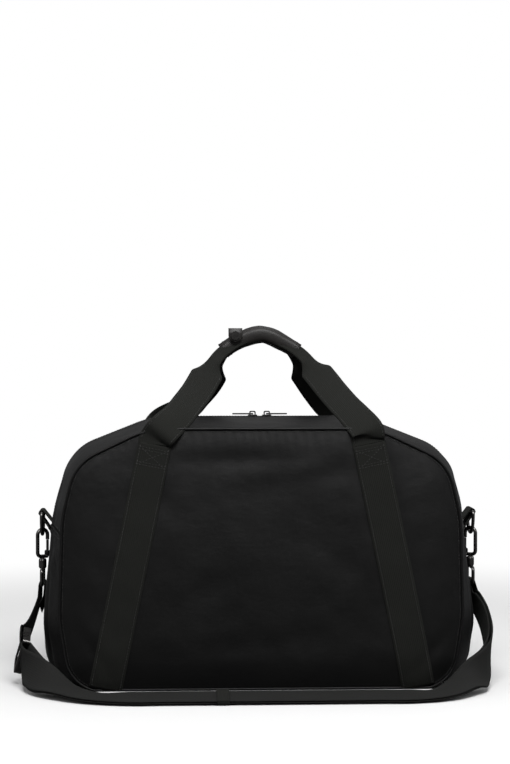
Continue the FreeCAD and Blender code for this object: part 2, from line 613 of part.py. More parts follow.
def hookHead(side, sign, turn):
    """A snap hook's head: a bent round bar, lugs for the gate's pin, and the swivel's headed stem."""
    head = newBody(f"hook_head_{side}")
    low, bend = dim("hook_wire") / 2, hookHalf - 0.2
    path = outline(newSketch(f"hook_path_{side}", head), [
        (hookHalf, low, 0), (-hookHalf, low, bend * 0.7), (-hookHalf, dim("hook_height"), bend),
        (hookHalf, dim("hook_height"), bend), (hookHalf, dim("hook_tip_height"), 0)], closed=False)
    section = circle(newSketch(f"hook_section_{side}", head, "YZ_Plane", hookHalf), 0, low, dim("hook_wire") / 2)
    pipe(head, f"hook_bar_{side}", section, path)
    lugHalf = dim("gate_radius") + 0.6
    slotHeight = dim("hook_wire") + dim("fit_gap") / 2
    lugTop = dim("pivot_height") + lugHalf
    lug = outline(newSketch(f"lug_outline_{side}", head), [
        (hookHalf - lugHalf, low, 0), (hookHalf + lugHalf, low, 0),
        (hookHalf + lugHalf, lugTop, lugHalf * 0.9), (hookHalf - lugHalf, lugTop, lugHalf * 0.9)])
    slotWidth = 2 * (dim("gate_radius") + dim("fit_gap"))
    pad(head, f"lugs_{side}", lug, slotWidth + 2 * dim("lug_wall"))
    slot = outline(newSketch(f"lug_slot_{side}", head), [
        (hookHalf - 2 * lugHalf, slotHeight, 0), (hookHalf + 2 * lugHalf, slotHeight, 0),
        (hookHalf + 2 * lugHalf, 2 * lugTop, 0), (hookHalf - 2 * lugHalf, 2 * lugTop, 0)])
    slot = pocket(head, f"gate_slot_{side}", slot, slotWidth)
    hole = circle(newSketch(f"pin_hole_{side}", head), hookHalf, dim("pivot_height"), dim("pin_radius"))
    pocket(head, f"pin_bore_{side}", hole, 4 * slotWidth)
    stemEnd, neck = -dim("stem_length"), -dim("stem_length") + dim("stem_head_height")
    stem = outline(newSketch(f"stem_profile_{side}", head), [
        (0, low, 0), (0, stemEnd, 0), (dim("stem_head_radius"), stemEnd, 0.4), (dim("stem_head_radius"), neck, 0.4),
        (dim("stem_radius"), neck, 0), (dim("stem_radius"), low, 0)])
    turned(head, f"stem_{side}", stem)
    asSubpart(turnAbout(head, turn, sign * dim("ring_x"), headBase), f"hook_head_{side}")


def hookGate(side, sign, turn):
    """The sprung bar that closes the hook, and the pin it turns on."""
    gate = newBody(f"hook_gate_{side}")
    radius, low = dim("gate_radius"), dim("pivot_height") - dim("gate_radius")
    rod = outline(newSketch(f"gate_profile_{side}", gate, "YZ_Plane", hookHalf), [
        (0, low, 0), (radius, low, 0.8), (radius, dim("hook_tip_height") - dim("fit_gap"), 0.6),
        (0, dim("hook_tip_height") - dim("fit_gap"), 0)])
    turned(gate, f"gate_rod_{side}", rod)
    bore = circle(newSketch(f"gate_bore_{side}", gate), hookHalf, dim("pivot_height"), dim("pin_radius") + 0.15)
    pocket(gate, f"gate_pin_hole_{side}", bore, 4 * radius)
    asSubpart(turnAbout(gate, turn, sign * dim("ring_x"), headBase), f"hook_gate_{side}")

    pin = newBody(f"gate_pin_{side}")
    rod = circle(newSketch(f"pin_circle_{side}", pin), hookHalf, dim("pivot_height"), dim("pin_radius"))
    pad(pin, f"pin_rod_{side}", rod, 2 * (radius + dim("fit_gap") + dim("lug_wall")))
    asSubpart(turnAbout(pin, turn, sign * dim("ring_x"), headBase), f"gate_pin_{side}")


def hookBase(side, sign):
    """The swivel's barrel, bored for the headed stem, over the loop that takes the strap."""
    base = newBody(f"hook_base_{side}")
    topBar = -dim("barrel_height")
    path = outline(newSketch(f"loop_path_{side}", base, "YZ_Plane"), [
        (0, topBar, 0), (-ringHalf, topBar, 4), (-ringHalf, loopLow, 4), (ringHalf, loopLow, 4),
        (ringHalf, topBar, 4)])
    section = circle(newSketch(f"loop_section_{side}", base), 0, topBar, dim("base_loop_wire") / 2)
    pipe(base, f"loop_{side}", section, path)
    top = -dim("fit_gap")
    barrel = outline(newSketch(f"barrel_profile_{side}", base), [
        (0, topBar, 0), (dim("barrel_radius") * 0.8, topBar, 0), (dim("barrel_radius"), topBar + 2, 1),
        (dim("barrel_radius"), top - 2, 1), (dim("barrel_radius") * 0.86, top, 0), (0, top, 0)])
    turned(base, f"barrel_{side}", barrel)
    neck = dim("stem_radius") + dim("fit_gap") * 0.75
    room = dim("stem_head_radius") + dim("fit_gap") * 0.75
    roomTop = -dim("stem_length") + dim("stem_head_height") + dim("fit_gap")
    cavity = outline(newSketch(f"barrel_cavity_{side}", base), [
        (0, 1, 0), (0, -dim("stem_length") - dim("fit_gap"), 0), (room, -dim("stem_length") - dim("fit_gap"), 0),
        (room, roomTop, 0), (neck, roomTop, 0), (neck, 1, 0)])
    turned(base, f"barrel_bore_{side}", cavity, "PartDesign::Groove")
    moveTo(base, sign * dim("ring_x"), 0, headBase)
    asSubpart(base, f"hook_base_{side}")


for side, sign, turn in (("left", -1, dim("hook_turn")), ("right", 1, 180 - dim("hook_turn"))):
    sideTab(side, sign)
    dRing(side, sign)
    hookHead(side, sign, turn)
    hookGate(side, sign, turn)
    hookBase(side, sign)

# ---------------------------------------------------------------- shoulder strap

barZ, frontY, ringX = strapBar.value, dim("strap_front_y").value, dim("ring_x").value
strapWall = dim("strap_wall").value
strapHalf = dim("webbing_width").value / 2
layerStep = (strapWall + dim("strap_gap").value) / 2
stackHalf = layerStep + strapWall / 2
keeperWall = dim("keeper_wall").value
floorZ = stackHalf + dim("fit_gap").value + keeperWall + 0.2
barSpread = (dim("base_loop_wire").value + strapWall) / 2 + dim("fit_gap").value

# Each station of the strap's middle surface: distance out from the ring, share of the way forward, share of
# the way up from the floor to the loop's bar, the way its outer face looks, and half the layers' spread.
leftLeg = [
    (0, 0, 0.87, (-1, 0, 0), barSpread), (4, 0.03, 0.74, (-1, -0.05, 0.1), 2.2),
    (15, 0.14, 0.54, (-0.97, -0.2, 0.15), layerStep), (20, 0.32, 0.34, (-0.96, -0.2, 0.2), layerStep),
    (14, 0.58, 0.18, (-0.86, -0.1, 0.5), layerStep), (-10, 0.8, 0.09, (-0.5, -0.1, 0.86), layerStep),
    (-48, 0.94, 0.01, (-0.12, 0, 1), layerStep), (-96, 1, 0, (0, 0, 1), layerStep)]
rightLeg = [
    (0, 0, 0.87, (1, 0, 0), barSpread), (8, 0.05, 0.74, (1, 0, 0.1), 2.2),
    (15, 0.22, 0.58, (1, 0, 0), layerStep), (16, 0.42, 0.4, (1, 0, 0.05), layerStep),
    (10, 0.64, 0.24, (0.96, 0, 0.3), layerStep), (-2, 0.82, 0.12, (0.7, 0, 0.7), layerStep),
    (-28, 0.94, 0.025, (0.25, 0, 0.97), layerStep), (-70, 1, 0, (0, 0, 1), layerStep)]


def stationsOf(leg, sign):
    return [(FreeCAD.Vector(sign * (ringX + out), share * frontY, floorZ + up * (barZ - floorZ)),
             FreeCAD.Vector(*face), spread) for out, share, up, face, spread in leg]


def ribbon(places, half, wall):
    """A flat strip through places (point, direction of travel, outer face), as a solid of ruled faces."""
    sections = []
    for point, along, face in places:
        across = along.cross(face).normalize() * half
        through = across.cross(along).normalize() * (wall / 2)
        corners = [point + across + through, point - across + through, point - across - through,
                   point + across - through]
        sections.append(Part.makePolygon(corners + corners[:1]))
    return Part.makeLoft(sections, True, True)


def travelled(points):
    """The direction of travel at each point, the mean of the runs on either side of it."""
    runs = [(b - a).normalize() for a, b in zip(points, points[1:])]
    return [runs[0]] + [(a + b).normalize() for a, b in zip(runs, runs[1:])] + [runs[-1]]


def roundBar(x):
    """Places over the loop's bar, from its right over its top to its left."""
    places = []
    for step in range(1, 6):
        angle = math.radians(30 * step)
        face = FreeCAD.Vector(math.cos(angle), 0, math.sin(angle))
        places.append((FreeCAD.Vector(x, 0, barZ) + face * barSpread, face))
    return places


# the strap runs straight through its adjuster, for the adjuster's length and a little more
stations = stationsOf(leftLeg, -1) + stationsOf(rightLeg, 1)[::-1]
adjusterAt = 3
adjusterAlong = (stations[adjusterAt + 1][0] - stations[adjusterAt - 1][0]).normalize()
adjusterPoint, adjusterFace, _ = stations[adjusterAt]
straightHalf = dim("adjuster_length").value / 2 + dim("adjuster_play").value
stations[adjusterAt:adjusterAt + 1] = [(adjusterPoint + adjusterAlong * reach, adjusterFace, layerStep)
                                       for reach in (-straightHalf, straightHalf)]
directions = travelled([point for point, _, _ in stations])
directions[adjusterAt] = directions[adjusterAt + 1] = adjusterAlong
outerRun, innerRun = [], []
for (point, face, spread), along in zip(stations, directions):
    outward = along.cross(face).cross(along).normalize()
    outerRun.append((point + outward * spread, along, outward))
    innerRun.append((point - outward * spread, -along, -outward))
adjusterOutward = adjusterAlong.cross(adjusterFace).cross(adjusterAlong).normalize()
tail = innerRun[:2][::-1]
returned = innerRun[adjusterAt + 1:][::-1]
returned.append((adjusterPoint - adjusterOutward * layerStep, -adjusterAlong, -adjusterOutward))


def withTravel(places):
    return [(point, FreeCAD.Vector(0, -1, 0).cross(face), face) for point, face in places]


strap = document.addObject("Part::Feature", "shoulder_strap")
strap.Shape = ribbon(tail + withTravel(roundBar(-ringX)) + outerRun + withTravel(roundBar(ringX)) + returned,
                     strapHalf, strapWall)
asSubpart(strap, "shoulder_strap")


def placed(body, point, along, face):
    """Puts a body's own X along the strap and its own Z out of the strap's face."""
    body.Placement = FreeCAD.Placement(point, FreeCAD.Rotation(along, face.cross(along), face, "XZY"))
    return body


slackHalf = webbingHalf + dim("fit_gap") * 1.5
barUnder = asSize(stackHalf) + dim("fit_gap")
adjuster = newBody("strap_adjuster")
adjusterHalf = dim("adjuster_length") / 2
railFar = slackHalf + dim("adjuster_rail")
frameTop = barUnder + dim("adjuster_wall")
frame = outline(newSketch("adjuster_outline", adjuster, "XY_Plane"), mirrored([
    (adjusterHalf, -railFar, 3), (adjusterHalf, railFar, 3)]))
pad(adjuster, "adjuster_block", frame, 2 * frameTop)
throat = outline(newSketch("adjuster_throat", adjuster, "YZ_Plane"), mirrored([
    (slackHalf, -2 * frameTop, 0), (slackHalf, barUnder, 0)]))
pocket(adjuster, "adjuster_strap_way", throat, 4 * adjusterHalf)
window = outline(newSketch("adjuster_window", adjuster, "XY_Plane"), mirrored([
    (adjusterHalf - dim("adjuster_bar"), -slackHalf, 0), (adjusterHalf - dim("adjuster_bar"), slackHalf, 0)]))
pocket(adjuster, "adjuster_opening", window, 4 * frameTop)
asSubpart(placed(adjuster, adjusterPoint, adjusterAlong, adjusterOutward), "strap_adjuster")

bar = newBody("adjuster_bar")
barSection = outline(newSketch("adjuster_bar_section", bar), mirrored([
    (dim("adjuster_bar") / 2, -frameTop, 0.9), (dim("adjuster_bar") / 2, -barUnder, 0.9)]))
pad(bar, "adjuster_bar_pad", barSection, 2 * slackHalf)
asSubpart(placed(bar, adjusterPoint, adjusterAlong, adjusterOutward), "adjuster_bar")

keeper = newBody("strap_keeper")
sleeveFar, sleeveTop = slackHalf + dim("keeper_wall"), barUnder + dim("keeper_wall")
sleeve = outline(newSketch("keeper_outline", keeper, "YZ_Plane"), mirrored([
    (sleeveFar, -sleeveTop, 1.5), (sleeveFar, sleeveTop, 1.5)]))
pad(keeper, "keeper_sleeve", sleeve, dim("keeper_length"))
way = outline(newSketch("keeper_way", keeper, "YZ_Plane"), mirrored([
    (slackHalf, -barUnder, 0), (slackHalf, barUnder, 0)]))
pocket(keeper, "keeper_opening", way, 2 * dim("keeper_length"))
moveTo(keeper, dim("keeper_x"), dim("strap_front_y"), floorZ)
asSubpart(keeper, "strap_keeper")

# ---------------------------------------------------------------- checks and files

document.recompute()
for thing in document.Objects:
    if {"Invalid", "Error"} & set(thing.State):
        raise RuntimeError(f"{thing.Name} failed: {thing.State}")
for solid in subparts:
    if solid.Shape.isNull() or not solid.Shape.isValid() or not solid.Shape.Solids:
        raise RuntimeError(f"{solid.Label} is not a valid solid")
for name, point in (("adjuster", adjusterPoint), ("adjuster slide", adjusterAlong)):
    print(f"{name}: {point.x:.4f} {point.y:.4f} {point.z:.4f}")
os.makedirs("parts", exist_ok=True)
for solid in subparts:
    solid.Shape.exportStep(f"parts/{solid.Label}.step")
    print(f"{solid.Label}: {solid.Shape.Volume:.0f} mm3, {len(solid.Shape.Solids)} solid(s)")
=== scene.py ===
import math

import bmesh
import bpy
import numpy as np
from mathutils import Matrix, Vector, noise


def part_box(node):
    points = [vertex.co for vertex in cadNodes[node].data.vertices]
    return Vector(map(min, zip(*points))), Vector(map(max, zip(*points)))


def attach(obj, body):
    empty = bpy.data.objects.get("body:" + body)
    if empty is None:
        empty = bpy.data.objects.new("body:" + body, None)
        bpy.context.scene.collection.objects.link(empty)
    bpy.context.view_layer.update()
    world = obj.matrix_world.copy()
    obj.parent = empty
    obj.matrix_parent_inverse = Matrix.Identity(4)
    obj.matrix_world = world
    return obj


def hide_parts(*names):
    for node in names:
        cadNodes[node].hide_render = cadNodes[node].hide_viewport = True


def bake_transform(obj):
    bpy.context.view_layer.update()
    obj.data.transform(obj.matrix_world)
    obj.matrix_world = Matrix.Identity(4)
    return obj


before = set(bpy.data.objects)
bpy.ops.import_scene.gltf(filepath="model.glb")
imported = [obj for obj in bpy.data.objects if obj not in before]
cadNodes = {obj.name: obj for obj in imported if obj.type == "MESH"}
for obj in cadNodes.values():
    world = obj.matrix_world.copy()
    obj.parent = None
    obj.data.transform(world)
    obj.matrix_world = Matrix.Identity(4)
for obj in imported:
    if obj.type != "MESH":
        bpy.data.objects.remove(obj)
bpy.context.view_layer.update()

# A soft weekender bag: lofted nylon shell, webbing handles, coil zip and a hooked-on shoulder strap.
# Metres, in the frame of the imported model: X to the bag's right, Y to its back, Z up.

# Camera, light and floor.

studio = {
    "azimuth": -2.8, "elevation": 1.2, "distance": 2.35, "aim": (-0.003, 0.0, 0.3485), "lens": 93.3,
    "floorTone": 0.85, "shadeTone": 0.10, "fill": 0.18, "backdrop": 1.0, "glowFrom": 0.55, "glowTo": 1.3,
    "floorReach": 9.0,
}


def toRadians(*angles):
    return [math.radians(a) for a in angles]


def addCamera():
    azimuth, elevation = toRadians(studio["azimuth"], studio["elevation"])
    back = Vector((math.sin(azimuth) * math.cos(elevation), -math.cos(azimuth) * math.cos(elevation),
                   math.sin(elevation)))
    data = bpy.data.cameras.new("camera")
    data.lens, data.sensor_width = studio["lens"], 36
    data.clip_start, data.clip_end = 0.1, 50
    camera = bpy.data.objects.new("camera", data)
    bpy.context.scene.collection.objects.link(camera)
    camera.location = Vector(studio["aim"]) + back * studio["distance"]
    camera.rotation_mode = "QUATERNION"
    camera.rotation_quaternion = (-back).to_track_quat("-Z", "Y")
    bpy.context.scene.camera = camera


def addSoftbox(name, place, target, size, power):
    data = bpy.data.lights.new(name, "AREA")
    data.shape, data.size, data.size_y, data.energy = "RECTANGLE", size[0], size[1], power
    lamp = bpy.data.objects.new(name, data)
    bpy.context.scene.collection.objects.link(lamp)
    lamp.location = place
    lamp.visible_camera = False
    lamp.rotation_mode = "QUATERNION"
    lamp.rotation_quaternion = (Vector(target) - Vector(place)).to_track_quat("-Z", "Y")


# White behind the object; a dimmer white lights it.
def addWorld():
    world = bpy.data.worlds.new("studio")
    world.use_nodes = True
    tree = world.node_tree
    dim = tree.nodes["Background"]
    dim.inputs["Color"].default_value = (1, 1, 1, 1)
    dim.inputs["Strength"].default_value = studio["fill"]
    bright, mix = tree.nodes.new("ShaderNodeBackground"), tree.nodes.new("ShaderNodeMixShader")
    bright.inputs["Color"].default_value = (1, 1, 1, 1)
    bright.inputs["Strength"].default_value = studio["backdrop"]
    seen = tree.nodes.new("ShaderNodeLightPath")
    tree.links.new(seen.outputs["Is Camera Ray"], mix.inputs[0])
    tree.links.new(dim.outputs[0], mix.inputs[1])
    tree.links.new(bright.outputs[0], mix.inputs[2])
    tree.links.new(mix.outputs[0], tree.nodes["World Output"].inputs["Surface"])
    bpy.context.scene.world = world
    bpy.context.scene.view_settings.view_transform = "Standard"


addCamera()
addWorld()
addSoftbox("frontSoftbox", (0.1, -1.7, 2.1), (0, 0, 0.2), (1.5, 0.9), 66)
addSoftbox("topSoftbox", (0, 0.2, 2.6), (0, 0, 0.0), (2.6, 1.6), 14)
addSoftbox("leftSoftbox", (-2.2, -0.7, 1.1), (0, 0, 0.2), (0.6, 1.2), 7)
addSoftbox("rightSoftbox", (2.2, -0.7, 1.1), (0, 0, 0.2), (0.6, 1.2), 7)
addSoftbox("backSoftbox", (0.3, 1.7, 2.3), (0, 0, 0.1), (1.4, 0.8), 5)
print("camera and lights are up")

# Materials.


# A material and short ways to add nodes to it.
class Finish:
    def __init__(self, name):
        self.material = bpy.data.materials.new(name)
        self.material.use_nodes = True
        self.tree = self.material.node_tree
        self.shader = self.tree.nodes["Principled BSDF"]

    def node(self, kind, sets=None, **inputs):
        made = self.tree.nodes.new(kind)
        for key, value in (sets or {}).items():
            setattr(made, key, value)
        for key, value in inputs.items():
            socket = made.inputs[int(key[1:])] if key[0] == "_" else made.inputs[key.replace("_", " ")]
            if isinstance(value, bpy.types.NodeSocket):
                self.tree.links.new(value, socket)
            else:
                socket.default_value = value
        return made.outputs[0] if kind != "ShaderNodeTexNoise" else made.outputs["Fac"]

    def coordinates(self, kind):
        if kind == "UV":
            return self.node("ShaderNodeUVMap")
        return self.tree.nodes.new("ShaderNodeTexCoord").outputs["Object"]

    def math(self, operation, a, b=0.0):
        return self.node("ShaderNodeMath", {"operation": operation}, _0=a, _1=b)

    def noise(self, vector, scale, detail=3.0, rough=0.55, stretch=(1, 1, 1)):
        moved = self.node("ShaderNodeMapping", Vector=vector, Scale=stretch)
        return self.node("ShaderNodeTexNoise", Vector=moved, Scale=scale, Detail=detail, Roughness=rough)

    def ramp(self, value, low, high):
        made = self.tree.nodes.new("ShaderNodeMapRange")
        self.tree.links.new(value, made.inputs["Value"])
        made.inputs["From Min"].default_value, made.inputs["From Max"].default_value = 0.3, 0.7
        made.inputs["To Min"].default_value, made.inputs["To Max"].default_value = low, high
        return made.outputs["Result"]

    def tint(self, factor, dark, light):
        made = self.tree.nodes.new("ShaderNodeMix")
        made.data_type = "RGBA"
        self.tree.links.new(factor, made.inputs["Factor"])
        made.inputs[6].default_value, made.inputs[7].default_value = (*dark, 1), (*light, 1)
        return made.outputs[2]

    def bands(self, vector, period, axis):
        return self.node("ShaderNodeTexWave", {"wave_type": "BANDS", "bands_direction": axis},
                         Vector=vector, Scale=2 * math.pi / (20 * period), Distortion=0.0)

    def bump(self, height, distance, strength=1.0, under=None):
        made = self.tree.nodes.new("ShaderNodeBump")
        made.inputs["Strength"].default_value, made.inputs["Distance"].default_value = strength, distance
        self.tree.links.new(height, made.inputs["Height"])
        if under is not None:
            self.tree.links.new(under, made.inputs["Normal"])
        return made.outputs["Normal"]

    def plug(self, name, value):
        self.tree.links.new(value, self.shader.inputs[name])

    def constants(self, **values):
        for name, value in values.items():
            self.shader.inputs[name.replace("_", " ")].default_value = value


# Satin-coated plain weave, near black.
def nylonFinish():
    f = Finish("nylon")
    uv, place = f.coordinates("UV"), f.coordinates("Object")
    warp, weft = f.bands(uv, 0.00065, "X"), f.bands(uv, 0.00065, "Y")
    weave = f.math("MULTIPLY", warp, weft)
    cloud = f.noise(place, 9, 4, 0.6)
    fine = f.noise(place, 260, 2, 0.6)
    f.plug("Base Color", f.tint(cloud, (0.0032, 0.0032, 0.0034), (0.0058, 0.0058, 0.0057)))
    f.plug("Roughness", f.math("ADD", f.ramp(cloud, 0.40, 0.48), f.math("MULTIPLY", fine, 0.06)))
    slack = f.bump(f.noise(place, 30, 4, 0.6, (1, 1, 1.6)), 0.0011, 0.55)
    f.plug("Normal", f.bump(weave, 0.00012, 0.5, slack))
    f.constants(Specular_IOR_Level=0.22, Sheen_Weight=0.02, Sheen_Roughness=0.4,
                Sheen_Tint=(0.8, 0.82, 0.86, 1))
    return f.material


# Herringbone webbing: ribs along the strip, slanted picks across them.
def webbingFinish(name, dark, light, ribPeriod=0.0021, sheen=0.12, roughLow=0.72):
    f = Finish(name)
    uv, place = f.coordinates("UV"), f.coordinates("Object")
    ribs = f.bands(uv, ribPeriod, "Y")
    slanted = f.bands(f.node("ShaderNodeMapping", Vector=uv, Rotation=(0, 0, 0.9)), 0.0011, "X")
    picks = f.bands(uv, 0.0013, "X")
    crossed = f.math("MULTIPLY", slanted, picks)
    weave = f.math("ADD", f.math("MULTIPLY", ribs, 0.6), f.math("MULTIPLY", crossed, 0.5))
    wear = f.noise(place, 45, 5, 0.65)
    shade = f.math("ADD", f.math("MULTIPLY", weave, 0.45), f.math("MULTIPLY", wear, 0.6))
    f.plug("Base Color", f.tint(shade, dark, light))
    f.plug("Roughness", f.ramp(wear, roughLow, roughLow + 0.14))
    f.plug("Normal", f.bump(weave, 0.0003, 0.8, f.bump(f.noise(place, 70, 3), 0.0004, 0.5)))
    f.constants(Specular_IOR_Level=0.16, Sheen_Weight=sheen * 0.35, Sheen_Roughness=0.55,
                Sheen_Tint=(0.85, 0.88, 0.84, 1))
    return f.material


# Smooth black-brown leather with a fine pebble and softly rubbed high spots.
def wrapFinish():
    f = Finish("wrapLeather")
    place = f.coordinates("Object")
    cells = f.node("ShaderNodeTexVoronoi", {"feature": "F1"}, Vector=place, Scale=900.0)
    rubbed = f.noise(place, 38, 5, 0.6)
    f.plug("Base Color", f.tint(rubbed, (0.0052, 0.0042, 0.0038), (0.0125, 0.0105, 0.0095)))
    f.plug("Roughness", f.ramp(rubbed, 0.42, 0.56))
    f.plug("Normal", f.bump(cells, 0.0001, 0.45, f.bump(f.noise(place, 60, 4), 0.0008, 0.5)))
    f.constants(Specular_IOR_Level=0.45)
    return f.material


# Dark plated zinc: brushed a little, brighter where it is rubbed.
def gunmetalFinish():
    f = Finish("gunmetal")
    place = f.coordinates("Object")
    rubbed = f.noise(place, 120, 5, 0.6)
    brushed = f.noise(place, 900, 2, 0.5, (1, 1, 0.08))
    f.plug("Base Color", f.tint(rubbed, (0.075, 0.073, 0.072), (0.17, 0.165, 0.16)))
    f.plug("Roughness", f.math("ADD", f.ramp(rubbed, 0.2, 0.3), f.math("MULTIPLY", brushed, 0.1)))
    f.plug("Normal", f.bump(brushed, 0.00003, 0.4))
    f.constants(Metallic=1.0)
    return f.material


def plasticFinish(name, dark, light, rough):
    f = Finish(name)
    place = f.coordinates("Object")
    cloud = f.noise(place, 300, 3, 0.6)
    f.plug("Base Color", f.tint(cloud, dark, light))
    f.plug("Roughness", f.ramp(cloud, rough, rough + 0.12))
    f.plug("Normal", f.bump(cloud, 0.00004, 0.4))
    f.constants(Specular_IOR_Level=0.5)
    return f.material


# Twisted bonded thread.
def threadFinish():
    f = Finish("thread")
    place = f.coordinates("Object")
    cloud = f.noise(place, 2500, 2, 0.5)
    f.plug("Base Color", f.tint(cloud, (0.006, 0.006, 0.006), (0.016, 0.016, 0.015)))
    f.plug("Roughness", f.ramp(cloud, 0.5, 0.65))
    f.constants(Specular_IOR_Level=0.45, Sheen_Weight=0.1)
    return f.material


# Matt white paper that fades into the white behind it, and throws back little light.
def floorFinish():
    f = Finish("floor")
    tone, shade = studio["floorTone"], studio["shadeTone"]
    new, link = f.tree.nodes.new, f.tree.links.new
    place = f.coordinates("Object")
    away = f.node("ShaderNodeVectorMath", {"operation": "LENGTH"}, _0=place).node.outputs["Value"]
    fade = new("ShaderNodeMapRange")
    fade.interpolation_type = "SMOOTHSTEP"
    link(away, fade.inputs["Value"])
    fade.inputs["From Min"].default_value = studio["glowFrom"]
    fade.inputs["From Max"].default_value = studio["glowTo"]
    paper = f.tint(f.noise(place, 3, 2), (tone, tone, tone), (tone + 0.01,) * 3)
    f.plug("Base Color", paper)
    f.constants(Roughness=0.8, Specular_IOR_Level=0.1)
    glow, dull, seen = new("ShaderNodeEmission"), new("ShaderNodeBsdfDiffuse"), new("ShaderNodeLightPath")
    dull.inputs["Color"].default_value = (shade, shade, shade, 1)
    lit, shown = new("ShaderNodeMixShader"), new("ShaderNodeMixShader")
    link(fade.outputs["Result"], lit.inputs[0])
    link(f.shader.outputs[0], lit.inputs[1])
    link(glow.outputs[0], lit.inputs[2])
    link(seen.outputs["Is Camera Ray"], shown.inputs[0])
    link(dull.outputs[0], shown.inputs[1])
    link(lit.outputs[0], shown.inputs[2])
    link(shown.outputs[0], f.tree.nodes["Material Output"].inputs["Surface"])
    return f.material


finishes = {
    "nylon": nylonFinish(),
    "webbing": webbingFinish("webbing", (0.0062, 0.0065, 0.0056), (0.0150, 0.0155, 0.0135),
                             sheen=0.06, roughLow=0.8),
    "strapWebbing": webbingFinish("strapWebbing", (0.007, 0.007, 0.0067), (0.016, 0.016, 0.0155),
                                  0.0024, 0.08, 0.72),
    "zipTape": webbingFinish("zipTape", (0.0060, 0.0060, 0.0062), (0.0150, 0.0150, 0.0150), 0.0009, 0.08),
    "zipTeeth": plasticFinish("zipTeeth", (0.006, 0.006, 0.006), (0.013, 0.013, 0.013), 0.28),
    "wrap": wrapFinish(),
    "gunmetal": gunmetalFinish(),
    "thread": threadFinish(),
    "lining": webbingFinish("lining", (0.010, 0.010, 0.011), (0.020, 0.020, 0.022), 0.0008, 0.05),
    "board": plasticFinish("board", (0.02, 0.02, 0.02), (0.035, 0.034, 0.032), 0.5),
    "floor": floorFinish(),
}
print("materials are mixed")

# Mesh helpers.


# vertices and faces as plain lists; uvs has one pair for each vertex.
def newObject(name, vertices, faces, finish, uvs=None, smooth=True):
    mesh = bpy.data.meshes.new(name)
    mesh.from_pydata([tuple(map(float, v)) for v in vertices], [], faces)
    mesh.update()
    if uvs is not None:
        layer = mesh.uv_layers.new(name="UVMap")
        flat = np.array(uvs, float)
        loops = np.zeros(len(mesh.loops), int)
        mesh.loops.foreach_get("vertex_index", loops)
        layer.data.foreach_set("uv", flat[loops].astype(np.float32).ravel())
    if smooth:
        mesh.polygons.foreach_set("use_smooth", [True] * len(mesh.polygons))
    mesh.materials.append(finishes[finish])
    made = bpy.data.objects.new(name, mesh)
    bpy.context.scene.collection.objects.link(made)
    return made


# Turns the faces of a closed piece outwards.
def facesOutward(made):
    work = bmesh.new()
    work.from_mesh(made.data)
    bmesh.ops.recalc_face_normals(work, faces=work.faces)
    work.to_mesh(made.data)
    work.free()
    return made


# A closed strip between two grids of points, rows along its length; closed joins the last row to the first.
def slab(name, outer, inner, finish, uv, closed=False):
    rows, columns = outer.shape[:2]
    vertices = np.concatenate([outer.reshape(-1, 3), inner.reshape(-1, 3)])
    uvs = np.concatenate([uv.reshape(-1, 2), uv.reshape(-1, 2)])
    under = rows * columns
    faces = []
    span = rows if closed else rows - 1
    for r in range(span):
        s = (r + 1) % rows
        for c in range(columns - 1):
            a, b, d, e = r * columns + c, r * columns + c + 1, s * columns + c + 1, s * columns + c
            faces += [(a, b, d, e), (under + e, under + d, under + b, under + a)]
        for c, flip in ((0, False), (columns - 1, True)):
            a, b = r * columns + c, s * columns + c
            wall = (a, b, under + b, under + a)
            faces.append(wall[::-1] if flip else wall)
    if not closed:
        for r, flip in ((0, True), (rows - 1, False)):
            for c in range(columns - 1):
                a, b = r * columns + c, r * columns + c + 1
                wall = (a, b, under + b, under + a)
                faces.append(wall[::-1] if flip else wall)
    return facesOutward(newObject(name, vertices, faces, finish, uvs))


# Catmull-Rom through the points; steps is the count in each gap, or one number for all.
def smoothPath(points, steps):
    points = np.array(points, float)
    steps = [steps] * (len(points) - 1) if isinstance(steps, int) else steps
    padded = np.concatenate([[2 * points[0] - points[1]], points, [2 * points[-1] - points[-2]]])
    made = []
    for i, count in enumerate(steps):
        a, b, c, d = padded[i:i + 4]
        t = np.linspace(0, 1, count, endpoint=False)[:, None]
        made.append(0.5 * (2 * b + (c - a) * t + (2 * a - 5 * b + 4 * c - d) * t ** 2
                           + (3 * b - a - 3 * c + d) * t ** 3))
    made.append(points[-1:])
    return np.concatenate(made)


def unit(vectors):
    vectors = np.array(vectors, float)
    return vectors / np.maximum(np.linalg.norm(vectors, axis=-1, keepdims=True), 1e-12)


# The distance travelled at each point of a path.
def lengths(points):
    return np.concatenate([[0], np.cumsum(np.linalg.norm(np.diff(points, axis=0), axis=1))])


# Webbing along points whose outer side looks along faces; half and wall may be one number or one a row.
def strip(name, points, faces, half, wall, finish, columns=11, curl=None, edge=0.35):
    points, faces = np.array(points, float), np.array(faces, float)
    along = unit(np.gradient(points, axis=0))
    faces = unit(faces - (faces * along).sum(1, keepdims=True) * along)
    across = np.cross(along, faces)
    rows = len(points)
    half = np.broadcast_to(half, rows)[:, None, None]
    wall = np.broadcast_to(wall, rows)[:, None, None]
    share = np.linspace(-1, 1, columns)[None, :, None]
    share = np.sign(share) * np.abs(share) ** 0.8
    thin = 1 - edge * (np.abs(share) > 0.999)
    bend = np.zeros((rows, 1, 1)) if curl is None else np.array(curl)[:, None, None]
    middle = points[:, None] + across[:, None] * share * half - faces[:, None] * bend * share ** 2
    outer = middle + faces[:, None] * wall / 2 * thin
    inner = middle - faces[:, None] * wall / 2 * thin
    run = lengths(points)
    uv = np.stack(np.broadcast_arrays(run[:, None], (share * half)[..., 0]), -1)
    return slab(name, outer, inner, finish, uv)


def smoothStep(value, low, high):
    t = np.clip((value - low) / (high - low), 0, 1)
    return t * t * (3 - 2 * t)


